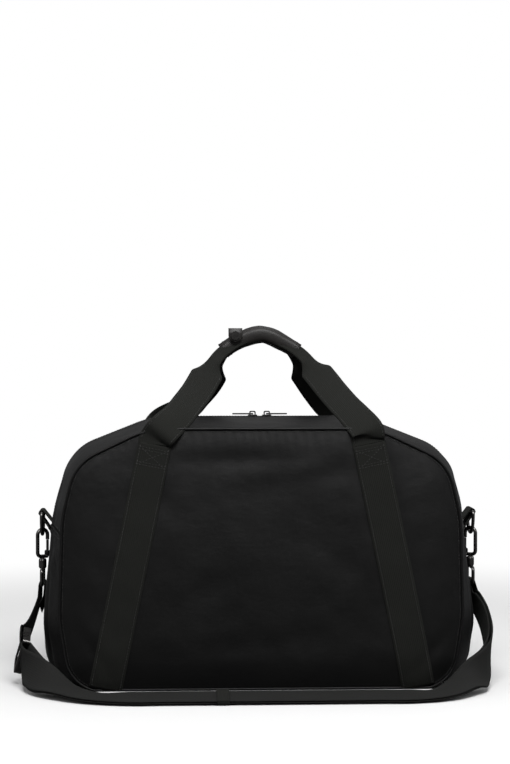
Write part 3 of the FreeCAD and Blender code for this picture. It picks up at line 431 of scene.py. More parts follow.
# Smooth noise from -1 to 1 at each point.
def softNoise(points, scale, seed):
    offset = Vector((seed * 17.3, seed * 5.1, seed * 9.7))
    flat = np.asarray(points, float).reshape(-1, 3)
    values = [noise.fractal(Vector(p) * scale + offset, 0.6, 2.1, 3) for p in flat]
    return np.array(values).reshape(np.asarray(points).shape[:-1])


def finishPiece(made, body, slot, *replaced):
    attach(made, body)
    if replaced:
        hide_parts(*replaced)
    return made


# Bag shell.

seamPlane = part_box("front_panel")[1].y
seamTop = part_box("front_panel")[1].z
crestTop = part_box("top_gusset_front")[1].z
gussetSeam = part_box("end_gusset_left")[1].z
zipEdge = -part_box("top_gusset_front")[1].y
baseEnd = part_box("base_panel")[1].x

shell = {
    # corners of the half outlines, from the base up: distance out, height, radius
    "seamCorners": [(0.2170, 0.0, 0.044), (0.2300, 0.080, 0.17), (0.2270, 0.196, 0.15),
                    (0.2120, 0.2585, 0.056), (0.1300, seamTop + 0.0005, 0.10)],
    "middleCorners": [(0.2460, 0.0, 0.036), (0.2545, 0.070, 0.13), (0.2400, 0.198, 0.13),
                      (0.2215, 0.2690, 0.058), (0.1240, crestTop, 0.11)],
    "lineSteps": (44, 5, 18, 14, 15, 28), "arcSteps": (18, 12, 6, 18, 12),
    "acrossSteps": 60, "roundness": 2.2, "wall": 0.0016,
    "bulge": 0.0125, "bulgeRun": 0.021, "topLoss": 0.55,
    "pucker": 0.00035, "puckerPitch": 0.011, "wrinkle": 0.0014, "slack": 0.0016, "hang": 0.0022,
    "liningInset": 0.0045,
}


# Points from the base's middle out and up to the crest's middle, the same count for any corners.
def halfOutline(corners):
    stops = [np.array(c[:2]) for c in corners]
    ends = [np.array((0, corners[0][1]))] + stops + [np.array((0, corners[-1][1]))]
    points, last = [], ends[0]
    for i, (x, z, radius) in enumerate(corners):
        corner = stops[i]
        back, ahead = unit(ends[i] - corner), unit(ends[i + 2] - corner)
        half = math.acos(max(-1, min(1, float(back @ ahead)))) / 2
        start, end = corner + back * radius / math.tan(half), corner + ahead * radius / math.tan(half)
        centre = corner + unit(back + ahead) * radius / math.sin(half)
        t = np.linspace(0, 1, shell["lineSteps"][i], endpoint=False)[:, None]
        points.append(last + (start - last) * t)
        t = np.linspace(0, 1, shell["arcSteps"][i], endpoint=False)[:, None]
        turn = math.pi - 2 * half
        a, b = unit(start - centre), unit(end - centre)
        points.append(centre + radius * (a * np.sin((1 - t) * turn) + b * np.sin(t * turn)) / math.sin(turn))
        last = end
    t = np.linspace(0, 1, shell["lineSteps"][-1] + 1)[:, None]
    points.append(last + (ends[-1] - last) * t)
    return np.concatenate(points)


def wholeOutline(corners):
    half = halfOutline(corners)
    mirrored = half[-2:0:-1] * (-1, 1)
    return np.concatenate([half, mirrored])


seamLoop, middleLoop = wholeOutline(shell["seamCorners"]), wholeOutline(shell["middleCorners"])
halfCount = len(halfOutline(shell["seamCorners"]))
loopCount = len(seamLoop)


# How far each point is from the panel's seam.
def seamDistance(x, z):
    place = np.stack([x, z], -1).reshape(-1, 2)
    nearest = np.full(len(place), 1e9)
    for a, b in zip(seamLoop, np.roll(seamLoop, -1, 0)):
        run = b - a
        t = np.clip(((place - a) @ run) / (run @ run), 0, 1)
        nearest = np.minimum(nearest, np.linalg.norm(place - a - t[:, None] * run, axis=1))
    return nearest.reshape(np.shape(x))


webbing = {
    "half": 0.019, "wall": 0.0016, "foot": (0.1780, 0.0025), "top": (0.1214, 0.2800),
    "pull": 0.0012, "freeWall": 0.0017, "length": 0.294, "stitchAside": 0.0162,
}


# Distance sideways from the middle of the sewn webbing on that side.
def webbingOffset(x, z):
    foot, top = np.array(webbing["foot"]), np.array(webbing["top"])
    run = unit(top - foot)
    return (np.abs(x) - foot[0]) * run[1] - (z - foot[1]) * run[0]


# Soft folds of a panel: middle x, z, lean in degrees, half length, half width, depth
panelFolds = {
    -1: [(-0.205, 0.262, 52, 0.032, 0.0050, 0.0016), (0.196, 0.268, -48, 0.030, 0.0055, 0.0013),
         (-0.19, 0.045, -35, 0.030, 0.0075, 0.0012), (0.19, 0.040, 40, 0.034, 0.0075, 0.0012),
         (-0.035, 0.262, 88, 0.080, 0.0105, 0.0010), (0.070, 0.245, 80, 0.070, 0.0120, 0.0008),
         (0.005, 0.052, 86, 0.110, 0.0140, 0.0009), (-0.07, 0.11, 62, 0.060, 0.0150, 0.0006),
         (0.088, 0.15, 118, 0.065, 0.0160, 0.0006)],
    1: [(0.19, 0.258, 50, 0.030, 0.0055, 0.0015), (-0.2, 0.262, -50, 0.030, 0.0050, 0.0014),
        (0.03, 0.255, 92, 0.085, 0.0110, 0.0010), (-0.06, 0.06, 84, 0.100, 0.0140, 0.0010),
        (0.09, 0.12, 60, 0.060, 0.0150, 0.0007)],
}


# A soft fold at a place on a surface: 1 in its crease, below 0 at its raised lip; bothLips raises both sides.
def foldShape(across, up, middle, lean, length, width, bothLips=False):
    a = math.radians(lean)
    along = (across - middle[0]) * math.sin(a) + (up - middle[1]) * math.cos(a)
    aside = (across - middle[0]) * math.cos(a) - (up - middle[1]) * math.sin(a)
    height, spread = (0.6, 1.3) if bothLips else (0.55, 1.6)
    lip = height * np.exp(-(((np.abs(aside) if bothLips else aside) - 2 * width) / (spread * width)) ** 2)
    return np.exp(-(along / length) ** 2) * (np.exp(-(aside / width) ** 2) - lip)


# How far the padded face stands out of the seam's plane.
def panelDepth(x, z, side):
    away = seamDistance(x, z)
    height = shell["bulge"] * (1 - shell["topLoss"] * smoothStep(z, 0.115, 0.30))
    depth = height * (1 - np.exp(-(away / shell["bulgeRun"]) ** 1.25))
    for cx, cz, lean, length, width, dip in panelFolds[side]:
        fold = foldShape(x, z, (cx, cz), lean, length, width)
        depth = depth - dip * fold * smoothStep(away, 0, 0.02)
    held = np.exp(-(webbingOffset(x, z) / 0.0225) ** 6) * smoothStep(z, -0.01, 0.03)
    depth = depth - webbing["pull"] * held * smoothStep(away, 0, 0.02)
    wave = np.sin((x * 1.0 + z * 0.35) * 2 * math.pi / shell["puckerPitch"]
                  + 2.5 * np.sin(x * 41) + 2.1 * np.sin(z * 57 + side))
    depth = depth + shell["pucker"] * wave * np.exp(-(away / 0.009)) * smoothStep(away, 0, 0.002)
    place = np.stack([x, np.full_like(x, 0.3 * side), z * 0.8], -1)
    soft = softNoise(place, 11, 3 + side)
    return depth + shell["wrinkle"] * soft * smoothStep(away, 0.0, 0.04)


# Points on a panel's outside; side is -1 at the front and 1 at the back.
def panelPoint(x, z, side, lift=0.0):
    depth = panelDepth(x, z, side) + lift
    return np.stack([x, side * (-seamPlane + depth), z], -1)


def makePanel(name, side, replaced):
    half = halfOutline(shell["seamCorners"])
    flatEnd = shell["lineSteps"][0]
    topStart = halfCount - 1 - shell["lineSteps"][-1]
    turn = np.linspace(0, math.pi, 131)
    rows = 0.5 * (1 - np.cos(turn)) * seamTop
    reach = np.interp(rows, half[flatEnd:topStart + 1, 1], half[flatEnd:topStart + 1, 0])
    share = np.linspace(-1, 1, 171)
    x = reach[:, None] * share[None, :]
    z = np.broadcast_to(rows[:, None], x.shape).copy()
    outer = panelPoint(x, z, side)
    inner = outer.copy()
    inner[..., 1] -= side * shell["wall"]
    piece = slab(name, outer, inner, "nylon", np.stack([x, z], -1))
    return finishPiece(piece, "bag", "nylon", replaced)


makePanel("frontPanelFabric", -1, "front_panel")
makePanel("backPanelFabric", 1, "back_panel")
print("padded panels are cut")

# Folds of the end gussets: side, middle y, z, lean in degrees, half length, half width, depth
gussetFolds = [
    (-1, -0.060, 0.090, 3, 0.085, 0.0070, 0.0028), (-1, -0.078, 0.148, 48, 0.020, 0.0045, 0.0022),
    (-1, 0.045, 0.075, -8, 0.060, 0.0100, 0.0022), (-1, 0.020, 0.035, 60, 0.040, 0.0080, 0.0018),
    (-1, -0.035, 0.215, -20, 0.032, 0.0060, 0.0016), (-1, 0.055, 0.225, 25, 0.030, 0.0065, 0.0016),
    (1, -0.055, 0.080, -4, 0.070, 0.0080, 0.0022), (1, 0.060, 0.100, 10, 0.060, 0.0100, 0.0020),
    (1, -0.070, 0.145, -50, 0.018, 0.0045, 0.0018), (1, 0.010, 0.030, 70, 0.045, 0.0090, 0.0016),
    (1, 0.030, 0.220, 20, 0.030, 0.0065, 0.0016), (1, -0.045, 0.225, -25, 0.028, 0.0060, 0.0014),
]


# The gusset all round: rows go round the outline, columns from the front seam to the back one.
def shellGrid(inset=0.0):
    across = np.linspace(-1, 1, shell["acrossSteps"] + 1)
    share = (1 - np.abs(across) ** shell["roundness"])[None, :, None]
    flat = seamLoop[:, None] * (1 - share) + middleLoop[:, None] * share
    y = np.broadcast_to((-seamPlane * across)[None, :], flat.shape[:2])
    grid = np.stack([flat[..., 0], y, flat[..., 1]], -1)
    ahead, aside = np.roll(grid, -1, 0) - np.roll(grid, 1, 0), np.gradient(grid, axis=1)
    outward = unit(np.cross(aside, ahead))
    if (outward[0, len(across) // 2] @ np.array((0, 0, -1))) < 0:
        outward = -outward
    x, y, z = grid[..., 0], grid[..., 1], grid[..., 2]
    fromSeam = -seamPlane - np.abs(y)
    move = np.zeros_like(x)
    for side, cy, cz, lean, length, width, dip in gussetFolds:
        fold = foldShape(y, z, (cy, cz), lean, length, width, True)
        move -= dip * fold * smoothStep(x * side, 0.15, 0.21)
    run = lengths(np.concatenate([seamLoop, seamLoop[:1]]))[:-1][:, None]
    wave = np.sin(run * 2 * math.pi / shell["puckerPitch"] + 3 * np.sin(run * 23))
    move += shell["pucker"] * wave * np.exp(-fromSeam / 0.008) * smoothStep(fromSeam, 0, 0.002)
    soft = softNoise(grid, 9, 11)
    free = np.where(z > gussetSeam, smoothStep(np.abs(y), zipEdge, zipEdge + 0.02), 1)
    move += shell["slack"] * soft * smoothStep(fromSeam, 0, 0.03) * smoothStep(z, 0.006, 0.03) * free
    # the cloth hangs a little between the zip and the seam
    hang = np.sin(np.clip((np.abs(y) - zipEdge) / (-seamPlane - zipEdge), 0, 1) * math.pi)
    move -= shell["hang"] * hang * smoothStep(z, 0.283, 0.296) * (0.7 + 0.3 * np.sin(x * 38))
    return grid + outward * (move - inset)[..., None], outward


shellPoints, shellOutward = shellGrid()
columnsY = np.linspace(seamPlane, -seamPlane, shell["acrossSteps"] + 1)
baseCount = shell["lineSteps"][0]
upperStart = int(np.argmin(np.abs(seamLoop[baseCount:halfCount, 1] - gussetSeam))) + baseCount
baseStop = int(np.argmin(np.abs(seamLoop[:baseCount, 0] - baseEnd)))
columnNear = int(np.argmin(np.abs(columnsY + zipEdge)))


# A part of the gusset, with its wall turned inwards.
def shellPiece(name, rows, columns, replaced):
    rows = np.array(rows) % loopCount
    outer = shellPoints[rows][:, columns].copy()
    inward = shellOutward[rows][:, columns] * shell["wall"]
    run = lengths(outer[:, 0])[:, None]
    uv = np.stack(np.broadcast_arrays(run, outer[0, :, 1][None, :]), -1)
    return finishPiece(slab(name, outer, outer - inward, "nylon", uv), "bag", "nylon", replaced)


upperRows = range(upperStart, loopCount - upperStart + 1)
frontColumns, backColumns = slice(0, columnNear + 1), slice(shell["acrossSteps"] - columnNear, None)
shellPiece("topGussetFrontFabric", upperRows, frontColumns, "top_gusset_front")
shellPiece("topGussetBackFabric", upperRows, backColumns, "top_gusset_back")
allColumns = slice(None)
shellPiece("endGussetRightFabric", range(baseStop, upperStart + 1), allColumns, "end_gusset_right")
shellPiece("endGussetLeftFabric", range(loopCount - upperStart, loopCount - baseStop + 1), allColumns,
           "end_gusset_left")
shellPiece("basePanelFabric", range(loopCount - baseStop, loopCount + baseStop + 1), allColumns, "base_panel")
print("gusset and base are cut")


# The inside of the bag: the shell again, smaller, closed by its own two panels.
def makeLining():
    inset, _ = shellGrid(shell["liningInset"])
    keep = slice(2, -2, 2)
    band = inset[::2, keep]
    rows, columns = band.shape[:2]
    vertices = list(band.reshape(-1, 3))
    faces = []
    for r in range(rows):
        below = (r + 1) % rows * columns
        faces += [(r * columns + c, r * columns + c + 1, below + c + 1, below + c) for c in range(columns - 1)]
    for c in (0, columns - 1):
        ring = [r * columns + c for r in range(rows)]
        heart = len(vertices)
        vertices.append(np.mean([vertices[i] for i in ring], axis=0))
        faces += [(ring[i], ring[(i + 1) % rows], heart) for i in range(rows)]
    uvs = [(v[0] + v[1], v[2] + v[1]) for v in vertices]
    piece = facesOutward(newObject("liningFabric", vertices, faces, "lining", uvs))
    return finishPiece(piece, "bag", "lining", "lining")


makeLining()

# What repeats: stitches and zip teeth, laid along paths by one node tree.


# Rounded grains at an even pitch along every edge path of the mesh, each turned along its path.
def repeatTree():
    tree = bpy.data.node_groups.new("grainsAlongPath", "GeometryNodeTree")
    face = tree.interface
    for name, kind in (("Geometry", "Geometry"), ("Pitch", "Float"), ("Size", "Vector"), ("Finish", "Material")):
        face.new_socket(name=name, in_out="INPUT", socket_type=f"NodeSocket{kind}")
    face.new_socket(name="Geometry", in_out="OUTPUT", socket_type="NodeSocketGeometry")
    new = tree.nodes.new
    entry, leave = new("NodeGroupInput"), new("NodeGroupOutput")
    curve, points = new("GeometryNodeMeshToCurve"), new("GeometryNodeCurveToPoints")
    points.mode = "LENGTH"
    grain, shape = new("GeometryNodeMeshUVSphere"), new("GeometryNodeTransform")
    grain.inputs["Segments"].default_value, grain.inputs["Rings"].default_value = 6, 4
    grain.inputs["Radius"].default_value = 0.5
    turn = new("FunctionNodeAlignRotationToVector")
    turn.axis = "Z"
    place, real = new("GeometryNodeInstanceOnPoints"), new("GeometryNodeRealizeInstances")
    smooth, coat = new("GeometryNodeSetShadeSmooth"), new("GeometryNodeSetMaterial")
    for source, output, target, entered in (
            (entry, "Geometry", curve, "Mesh"), (curve, "Curve", points, "Curve"), (entry, "Pitch", points, "Length"),
            (grain, "Mesh", shape, "Geometry"), (entry, "Size", shape, "Scale"), (points, "Tangent", turn, "Vector"),
            (points, "Points", place, "Points"), (shape, "Geometry", place, "Instance"),
            (turn, "Rotation", place, "Rotation"), (place, "Instances", real, "Geometry"),
            (real, "Geometry", smooth, "Geometry"), (smooth, "Geometry", coat, "Geometry"),
            (entry, "Finish", coat, "Material"), (coat, "Geometry", leave, "Geometry")):
        tree.links.new(source.outputs[output], target.inputs[entered])
    return tree


grainTree = repeatTree()
grainInputs = {item.name: item.identifier for item in grainTree.interface.items_tree if item.in_out == "INPUT"}


# Grains along several open paths, made a plain mesh.
def grainsAlong(name, paths, pitch, size, finish, body, slot, *replaced):
    vertices, edges = [], []
    for path in paths:
        first = len(vertices)
        vertices += [tuple(map(float, p)) for p in path]
        edges += [(i, i + 1) for i in range(first, len(vertices) - 1)]
    mesh = bpy.data.meshes.new(name)
    mesh.from_pydata(vertices, edges, [])
    made = bpy.data.objects.new(name, mesh)
    bpy.context.scene.collection.objects.link(made)
    grains = made.modifiers.new("grains", "NODES")
    grains.node_group = grainTree
    grains[grainInputs["Pitch"]] = pitch
    grains[grainInputs["Size"]] = size
    grains[grainInputs["Finish"]] = finishes[finish]
    made.update_tag()
    evaluated = made.evaluated_get(bpy.context.evaluated_depsgraph_get())
    plain = bpy.data.meshes.new_from_object(evaluated)
    made.modifiers.clear()
    made.data = plain
    return finishPiece(made, body, slot, *replaced)


stitch = {"pitch": 0.0034, "size": (0.0007, 0.0007, 0.0027), "lift": 0.00015, "fromEdge": 0.0032}


# A thin turned-over edge of cloth along a path.
def roll(name, points, radius, body, slot, finish="nylon", sides=8, closed=False):
    points = np.array(points, float)
    step = np.roll(points, -1, 0) - np.roll(points, 1, 0) if closed else np.gradient(points, axis=0)
    along = unit(step)
    side = unit(np.cross(along, np.broadcast_to((0.31, 0.87, 0.38), along.shape)))
    up = np.cross(side, along)
    angles = np.linspace(0, 2 * math.pi, sides, endpoint=False)
    ring = (points[:, None] + radius * (side[:, None] * np.cos(angles)[None, :, None]
                                        + up[:, None] * np.sin(angles)[None, :, None]))
    rows = len(points)
    faces = [(r * sides + c, r * sides + (c + 1) % sides, (r + 1) % rows * sides + (c + 1) % sides,
              (r + 1) % rows * sides + c) for r in range(rows if closed else rows - 1) for c in range(sides)]
    if not closed:
        faces += [tuple(range(sides)), tuple((rows - 1) * sides + c for c in range(sides))]
    run = np.broadcast_to(lengths(points)[:, None], ring.shape[:2])
    uvs = np.stack([run, np.broadcast_to(angles[None] * radius, ring.shape[:2])], -1).reshape(-1, 2)
    return finishPiece(facesOutward(newObject(name, ring.reshape(-1, 3), faces, finish, uvs)), body, slot)


def seamEdge(side):
    return np.stack([seamLoop[:, 0], np.full(loopCount, side * -seamPlane), seamLoop[:, 1]], -1)


# The panel's outline moved inwards.
def insetLoop(distance):
    ahead = unit(np.roll(seamLoop, -1, 0) - np.roll(seamLoop, 1, 0))
    inward = np.stack([-ahead[:, 1], ahead[:, 0]], -1)
    return seamLoop + inward * distance


for side, name in ((-1, "front"), (1, "back")):
    edge = seamEdge(side)
    edge[:, 1] += side * 0.0008
    edge[:, 2] = np.maximum(edge[:, 2], 0.0016)
    roll(f"{name}SeamEdge", edge, 0.0015, "bag", "nylon", closed=True)
    rim = insetLoop(stitch["fromEdge"])
    path = panelPoint(rim[:, 0], rim[:, 1], side, stitch["lift"])
    keep = path[:, 2] > 0.004
    start = int(np.argmax(keep & ~np.roll(keep, 1)))
    ordered = np.roll(path, -start, 0)[:int(keep.sum())]
    grainsAlong(f"{name}PanelStitches", [ordered], stitch["pitch"], stitch["size"], "thread", "bag", "nylon")

# Seams across the ends and along the zip.
for row, name in ((upperStart, "right"), (loopCount - upperStart, "left")):
    across = shellPoints[row] + shellOutward[row] * 0.0002
    roll(f"{name}GussetSeamEdge", across, 0.0011, "bag", "nylon")
    paths = [shellPoints[row + shift] + shellOutward[row + shift] * stitch["lift"] for shift in (-1, 1)]
    grainsAlong(f"{name}GussetStitches", paths, stitch["pitch"], stitch["size"], "thread", "bag", "nylon")
for column, name in ((columnNear, "front"), (shell["acrossSteps"] - columnNear, "back")):
    rows = np.array(upperRows)
    edge, outward = shellPoints[rows, column], shellOutward[rows, column]
    roll(f"{name}ZipEdge", edge - outward * 0.0006, 0.0009, "bag", "nylon")
    further = column + (1 if column > shell["acrossSteps"] / 2 else -1)
    beside = (edge * 0.4 + shellPoints[rows, further] * 0.6) + outward * 0.0002
    grainsAlong(f"{name}ZipStitches", [beside], stitch["pitch"], stitch["size"], "thread", "bag", "nylon")
print("seams are sewn")

# Zip.

zipper = {"toothNear": 0.0003, "toothFar": 0.0030, "tapeDrop": 0.0011, "tapeWall": 0.0008, "coilDrop": 0.0009,
          "pitch": 0.00165, "grain": (0.0019, 0.0027, 0.00125), "backShift": 0.0004, "cordRadius": 0.0006}


# The crest line of the outline from one gusset seam over the top to the other, dropped inwards.
def middlePath(drop):
    rows = np.array(upperRows)
    centre = shell["acrossSteps"] // 2
    outward = shellOutward[rows, centre]
    return shellPoints[rows, centre] - outward * drop, outward


def tapePiece(name, side, replaced):
    line, outward = middlePath(zipper["tapeDrop"])
    offsets = np.linspace(zipper["toothFar"] - 0.001, zipEdge + 0.002, 9) * side
    outer = np.repeat(line[:, None], 9, 1)
    outer[..., 1] = offsets[None, :]
    inner = outer - outward[:, None] * zipper["tapeWall"]
    run = lengths(line)[:, None]
    uv = np.stack(np.broadcast_arrays(run, offsets[None, :]), -1)
    return finishPiece(slab(name, outer, inner, "zipTape", uv), "bag", "zip_tape", replaced)


tapePiece("zipTapeFrontCloth", -1, "zip_tape_front")
tapePiece("zipTapeBackCloth", 1, "zip_tape_back")
for side, name in ((-1, "front"), (1, "back")):
    line, _ = middlePath(zipper["coilDrop"])
    line[:, 1] = side * (zipper["toothNear"] + zipper["toothFar"]) / 2
    if side > 0:
        line[:, 0] += zipper["backShift"]
    grainsAlong(f"zipCoil{name.capitalize()}", [line], zipper["pitch"], zipper["grain"], "zipTeeth", "bag",
                "zip_teeth", f"zip_teeth_{name}")
    edge = line.copy()
    edge[:, 1] = side * (zipper["toothFar"] - 0.0002)
    roll(f"zipCord{name.capitalize()}", edge, zipper["cordRadius"], "bag", "zip_tape", "zipTape", 6)
print("zip is laid")

# Sewn webbing and handles.


# Points on the sewn webbing: share of its length, distance aside, at the front or back.
def sewnPath(sideX, share, aside, sideY, lift):
    foot, top = np.array(webbing["foot"]), np.array(webbing["top"])
    run = unit(top - foot)
    across = np.array((run[1], -run[0]))
    place = foot + (top - foot) * np.asarray(share)[..., None] + across * np.asarray(aside)[..., None]
    x, z = sideX * place[..., 0], np.maximum(place[..., 1], 0.0016)
    return panelPoint(x, z, sideY, lift)


def sewnWebbing(sideX, sideY):
    word = ("front" if sideY < 0 else "back", "left" if sideX < 0 else "right")
    share, aside = np.linspace(0, 1, 121), np.linspace(-1, 1, 15)
    grid = np.meshgrid(share, aside * webbing["half"], indexing="ij")
    thin = 0.45 * (np.abs(aside) > 0.999)[None, :]
    outer = sewnPath(sideX, *grid, sideY, 0.0)
    inner = outer.copy()
    outer[..., 1] += sideY * (webbing["wall"] + 0.0002 - 0.0016 * thin)
    inner[..., 1] -= sideY * 0.0006
    uv = np.stack([grid[0] * webbing["length"], grid[1]], -1)
    ending = word[0].capitalize() + word[1].capitalize()
    piece = slab(f"sewnWebbing{ending}", outer, inner, "webbing", uv)
    finishPiece(piece, "bag", "webbing", f"sewn_webbing_{word[0]}_{word[1]}")
    lift = webbing["wall"] + 0.00035
    rows = []
    for aside in (-webbing["stitchAside"], webbing["stitchAside"]):
        rows.append(sewnPath(sideX, np.linspace(0.01, 0.985, 90), np.full(90, aside), sideY, lift))
    for share in (0.982, 0.972, 0.922, 0.912):
        rows.append(sewnPath(sideX, np.full(14, share), np.linspace(-0.016, 0.016, 14), sideY, lift))
    for a, b in ((0.912, 0.982), (0.982, 0.912)):
        rows.append(sewnPath(sideX, np.linspace(a, b, 16), np.linspace(-0.0155, 0.0155, 16), sideY, lift))
    grainsAlong(f"webbingStitches{ending}", rows, stitch["pitch"], stitch["size"], "thread", "bag", "webbing")


for sideY in (-1, 1):
    for sideX in (-1, 1):
        sewnWebbing(sideX, sideY)

handles = {
    # the front handle's middle line from its sewn end to the grip's middle, for the right leg and the left leg
    "right": [(0.1190, -0.1110, 0.2960), (0.1060, -0.0930, 0.3130), (0.0945, -0.0770, 0.3265),
              (0.0830, -0.0600, 0.3410), (0.0725, -0.0440, 0.3555), (0.0610, -0.0300, 0.3700),
              (0.0490, -0.0175, 0.3830), (0.0320, -0.0110, 0.3940)],
    "left": [(-0.1130, -0.1110, 0.2960), (-0.0950, -0.0930, 0.3130), (-0.0840, -0.0770, 0.3265),
             (-0.0730, -0.0600, 0.3400), (-0.0640, -0.0440, 0.3540), (-0.0550, -0.0300, 0.3690),
             (-0.0420, -0.0175, 0.3840), (-0.0220, -0.0110, 0.3970)],
    "crown": (0.0050, -0.0085, 0.4050), "grip": 0.0078, "foldStart": 0.128, "foldEnd": 0.152,
    "backInward": 0.010,
}


# The webbing's middle line and outer side, from the left foot over the grip to the right foot.
def handlePath(sideY):
    starts = {}
    for word, sideX in (("left", -1), ("right", 1)):
        sewn = [sewnPath(sideX, np.array([s]), np.array([0.0]), -1, 0.0009)[0] for s in (1.0, 1.022)]
        starts[word] = [tuple(sewn[0]), tuple(sewn[1])]
    route = (starts["left"] + handles["left"] + [handles["crown"]] + handles["right"][::-1]
             + starts["right"][::-1])
    path = smoothPath(route, 9)
    path = path[np.concatenate([[True], np.linalg.norm(np.diff(path, axis=0), axis=1) > 1e-5])]
    tilt = np.array((0, -0.75, 0.66))
    flat = np.array((0, -1.0, 0.16))
    rise = smoothStep(path[:, 2], 0.283, 0.328)[:, None]
    faces = unit(flat * (1 - rise) + tilt * rise)
    if sideY > 0:
        leg = smoothStep(np.abs(path[:, 0]), 0.03, 0.07)
        inward = handles["backInward"] * smoothStep(path[:, 2], 0.296, 0.32) * leg
        path, faces = path * (1, -1, 1), faces * (1, -1, 1)
        path[:, 0] -= np.sign(path[:, 0]) * inward
    return path, faces


def makeHandle(name, sideY, body, node):
    path, faces = handlePath(sideY)
    run = lengths(path)
    fromEnd = np.minimum(run, run[-1] - run)
    fold = smoothStep(fromEnd, handles["foldStart"], handles["foldEnd"])
    half = webbing["half"] * (1 - fold) + handles["grip"] * fold
    wall = webbing["freeWall"] * (1 + 1.2 * fold)
    curl = 0.0085 * fold * (1 - fold) * 2 + 0.0016 * smoothStep(fromEnd, 0.02, 0.08) * (1 - fold)
    piece = strip(name, path, faces, half, wall, "webbing", 15, curl, 0.5)
    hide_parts(node)
    along = unit(np.gradient(path, axis=0))
    side = unit(np.cross(along, faces))
    middle = path + faces * (wall / 2 + 0.0001)[:, None]
    flat = (fromEnd > 0.004) & (fromEnd < handles["foldStart"])
    rows = []
    for chosen in (flat & (run < run[-1] / 2), flat & (run > run[-1] / 2)):
        for aside in (-webbing["stitchAside"], webbing["stitchAside"]):
            bent = faces * (curl * (aside / webbing["half"]) ** 2)[:, None]
            rows.append((middle + side * aside - bent)[chosen])
    sewn = grainsAlong(f"{name}Stitches", rows, stitch["pitch"], stitch["size"], "thread", body, "webbing")
    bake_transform(piece)
    sewn.parent = None
    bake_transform(sewn)
    return piece


makeHandle("handleFrontWebbing", -1, "handle_front", "handle_front")
makeHandle("handleBackWebbing", 1, "handle_back", "handle_back")
print("handles are bent")

wrap = {"left": -0.042, "right": 0.048, "halfHeight": 0.0098, "halfDepth": 0.0160, "wall": 0.0013,
        "pitch": 0.0031, "stitch": (0.00065, 0.00065, 0.0024), "stitchLift": 0.0003, "edgeRadius": 0.0009}


# The grip's middle line at y = 0 between the wrap's ends.
def wrapLine():
    path, _ = handlePath(-1)
    inside = (path[:, 0] > wrap["left"]) & (path[:, 0] < wrap["right"]) & (path[:, 2] > 0.37)
    line = smoothPath(path[inside][::3], 3)
    line[:, 1] = 0
    return line


def makeWrap():
    line = wrapLine()
    along = unit(np.gradient(line, axis=0))
    depth = np.array((0, 1.0, 0))
    up = unit(np.cross(along, np.broadcast_to(depth, along.shape)))
    up = np.where(up[:, 2:] < 0, -up, up)
    rows, sides = len(line), 44
    angles = np.linspace(0, 2 * math.pi, sides, endpoint=False)
    cosine, sine = (np.sign(v) * np.abs(v) ** 0.62 for v in (np.cos(angles), np.sin(angles)))
    share = np.linspace(-1, 1, rows)
    swell = 1 + 0.05 * np.cos(share * 3.1) - 0.04 * np.exp(-((share - 0.1) / 0.09) ** 2)

    def ring(extra):
        height = (wrap["halfHeight"] + extra) * swell
        width = (wrap["halfDepth"] + extra) * (1 + 0.03 * np.cos(share * 5))
        body = (line[:, None] + up[:, None] * (height[:, None] * sine[None])[..., None]
                + depth * (width[:, None] * cosine[None])[..., None])
        dent = softNoise(body, 55, 5) * 0.0007
        return body + (up[:, None] * (dent * sine[None])[..., None])

    outer, inner = ring(0.0), ring(-wrap["wall"])
    run = lengths(line)[:, None]
    faces, total = [], rows * sides
    vertices = np.concatenate([outer.reshape(-1, 3), inner.reshape(-1, 3)])
    for r in range(rows - 1):
        for c in range(sides):
            d = (c + 1) % sides
            a, b, e, f = r * sides + c, r * sides + d, (r + 1) * sides + d, (r + 1) * sides + c
            faces += [(a, b, e, f), (total + f, total + e, total + b, total + a)]
    for r in (0, rows - 1):
        for c in range(sides):
            d = (c + 1) % sides
            faces.append((r * sides + c, r * sides + d, total + r * sides + d, total + r * sides + c))
    uv = np.stack(np.broadcast_arrays(run, (angles * 0.013)[None]), -1).reshape(-1, 2)
    piece = facesOutward(newObject("handleWrapLeather", vertices, faces, "wrap", np.concatenate([uv, uv])))
    finishPiece(piece, "handle_front", "wrap", "handle_wrap")
    lifted = []
    for r in (2, rows - 3):
        path = np.concatenate([outer[r], outer[r, :1]])
        lifted.append(path + unit(path - path.mean(0)) * wrap["stitchLift"])
    lengthwise = outer[2:-2, int(sides * 0.64)]
    lifted.append(lengthwise + unit(lengthwise - line[2:-2]) * wrap["stitchLift"])
    grainsAlong("wrapStitches", lifted, wrap["pitch"], wrap["stitch"], "thread", "handle_front", "wrap")
    for end, word in ((0, "Left"), (rows - 1, "Right")):
        edge = outer[end] * 0.5 + inner[end] * 0.5
        roll(f"wrapEdge{word}", edge, wrap["edgeRadius"], "handle_front", "wrap", "wrap", 8, True)


makeWrap()


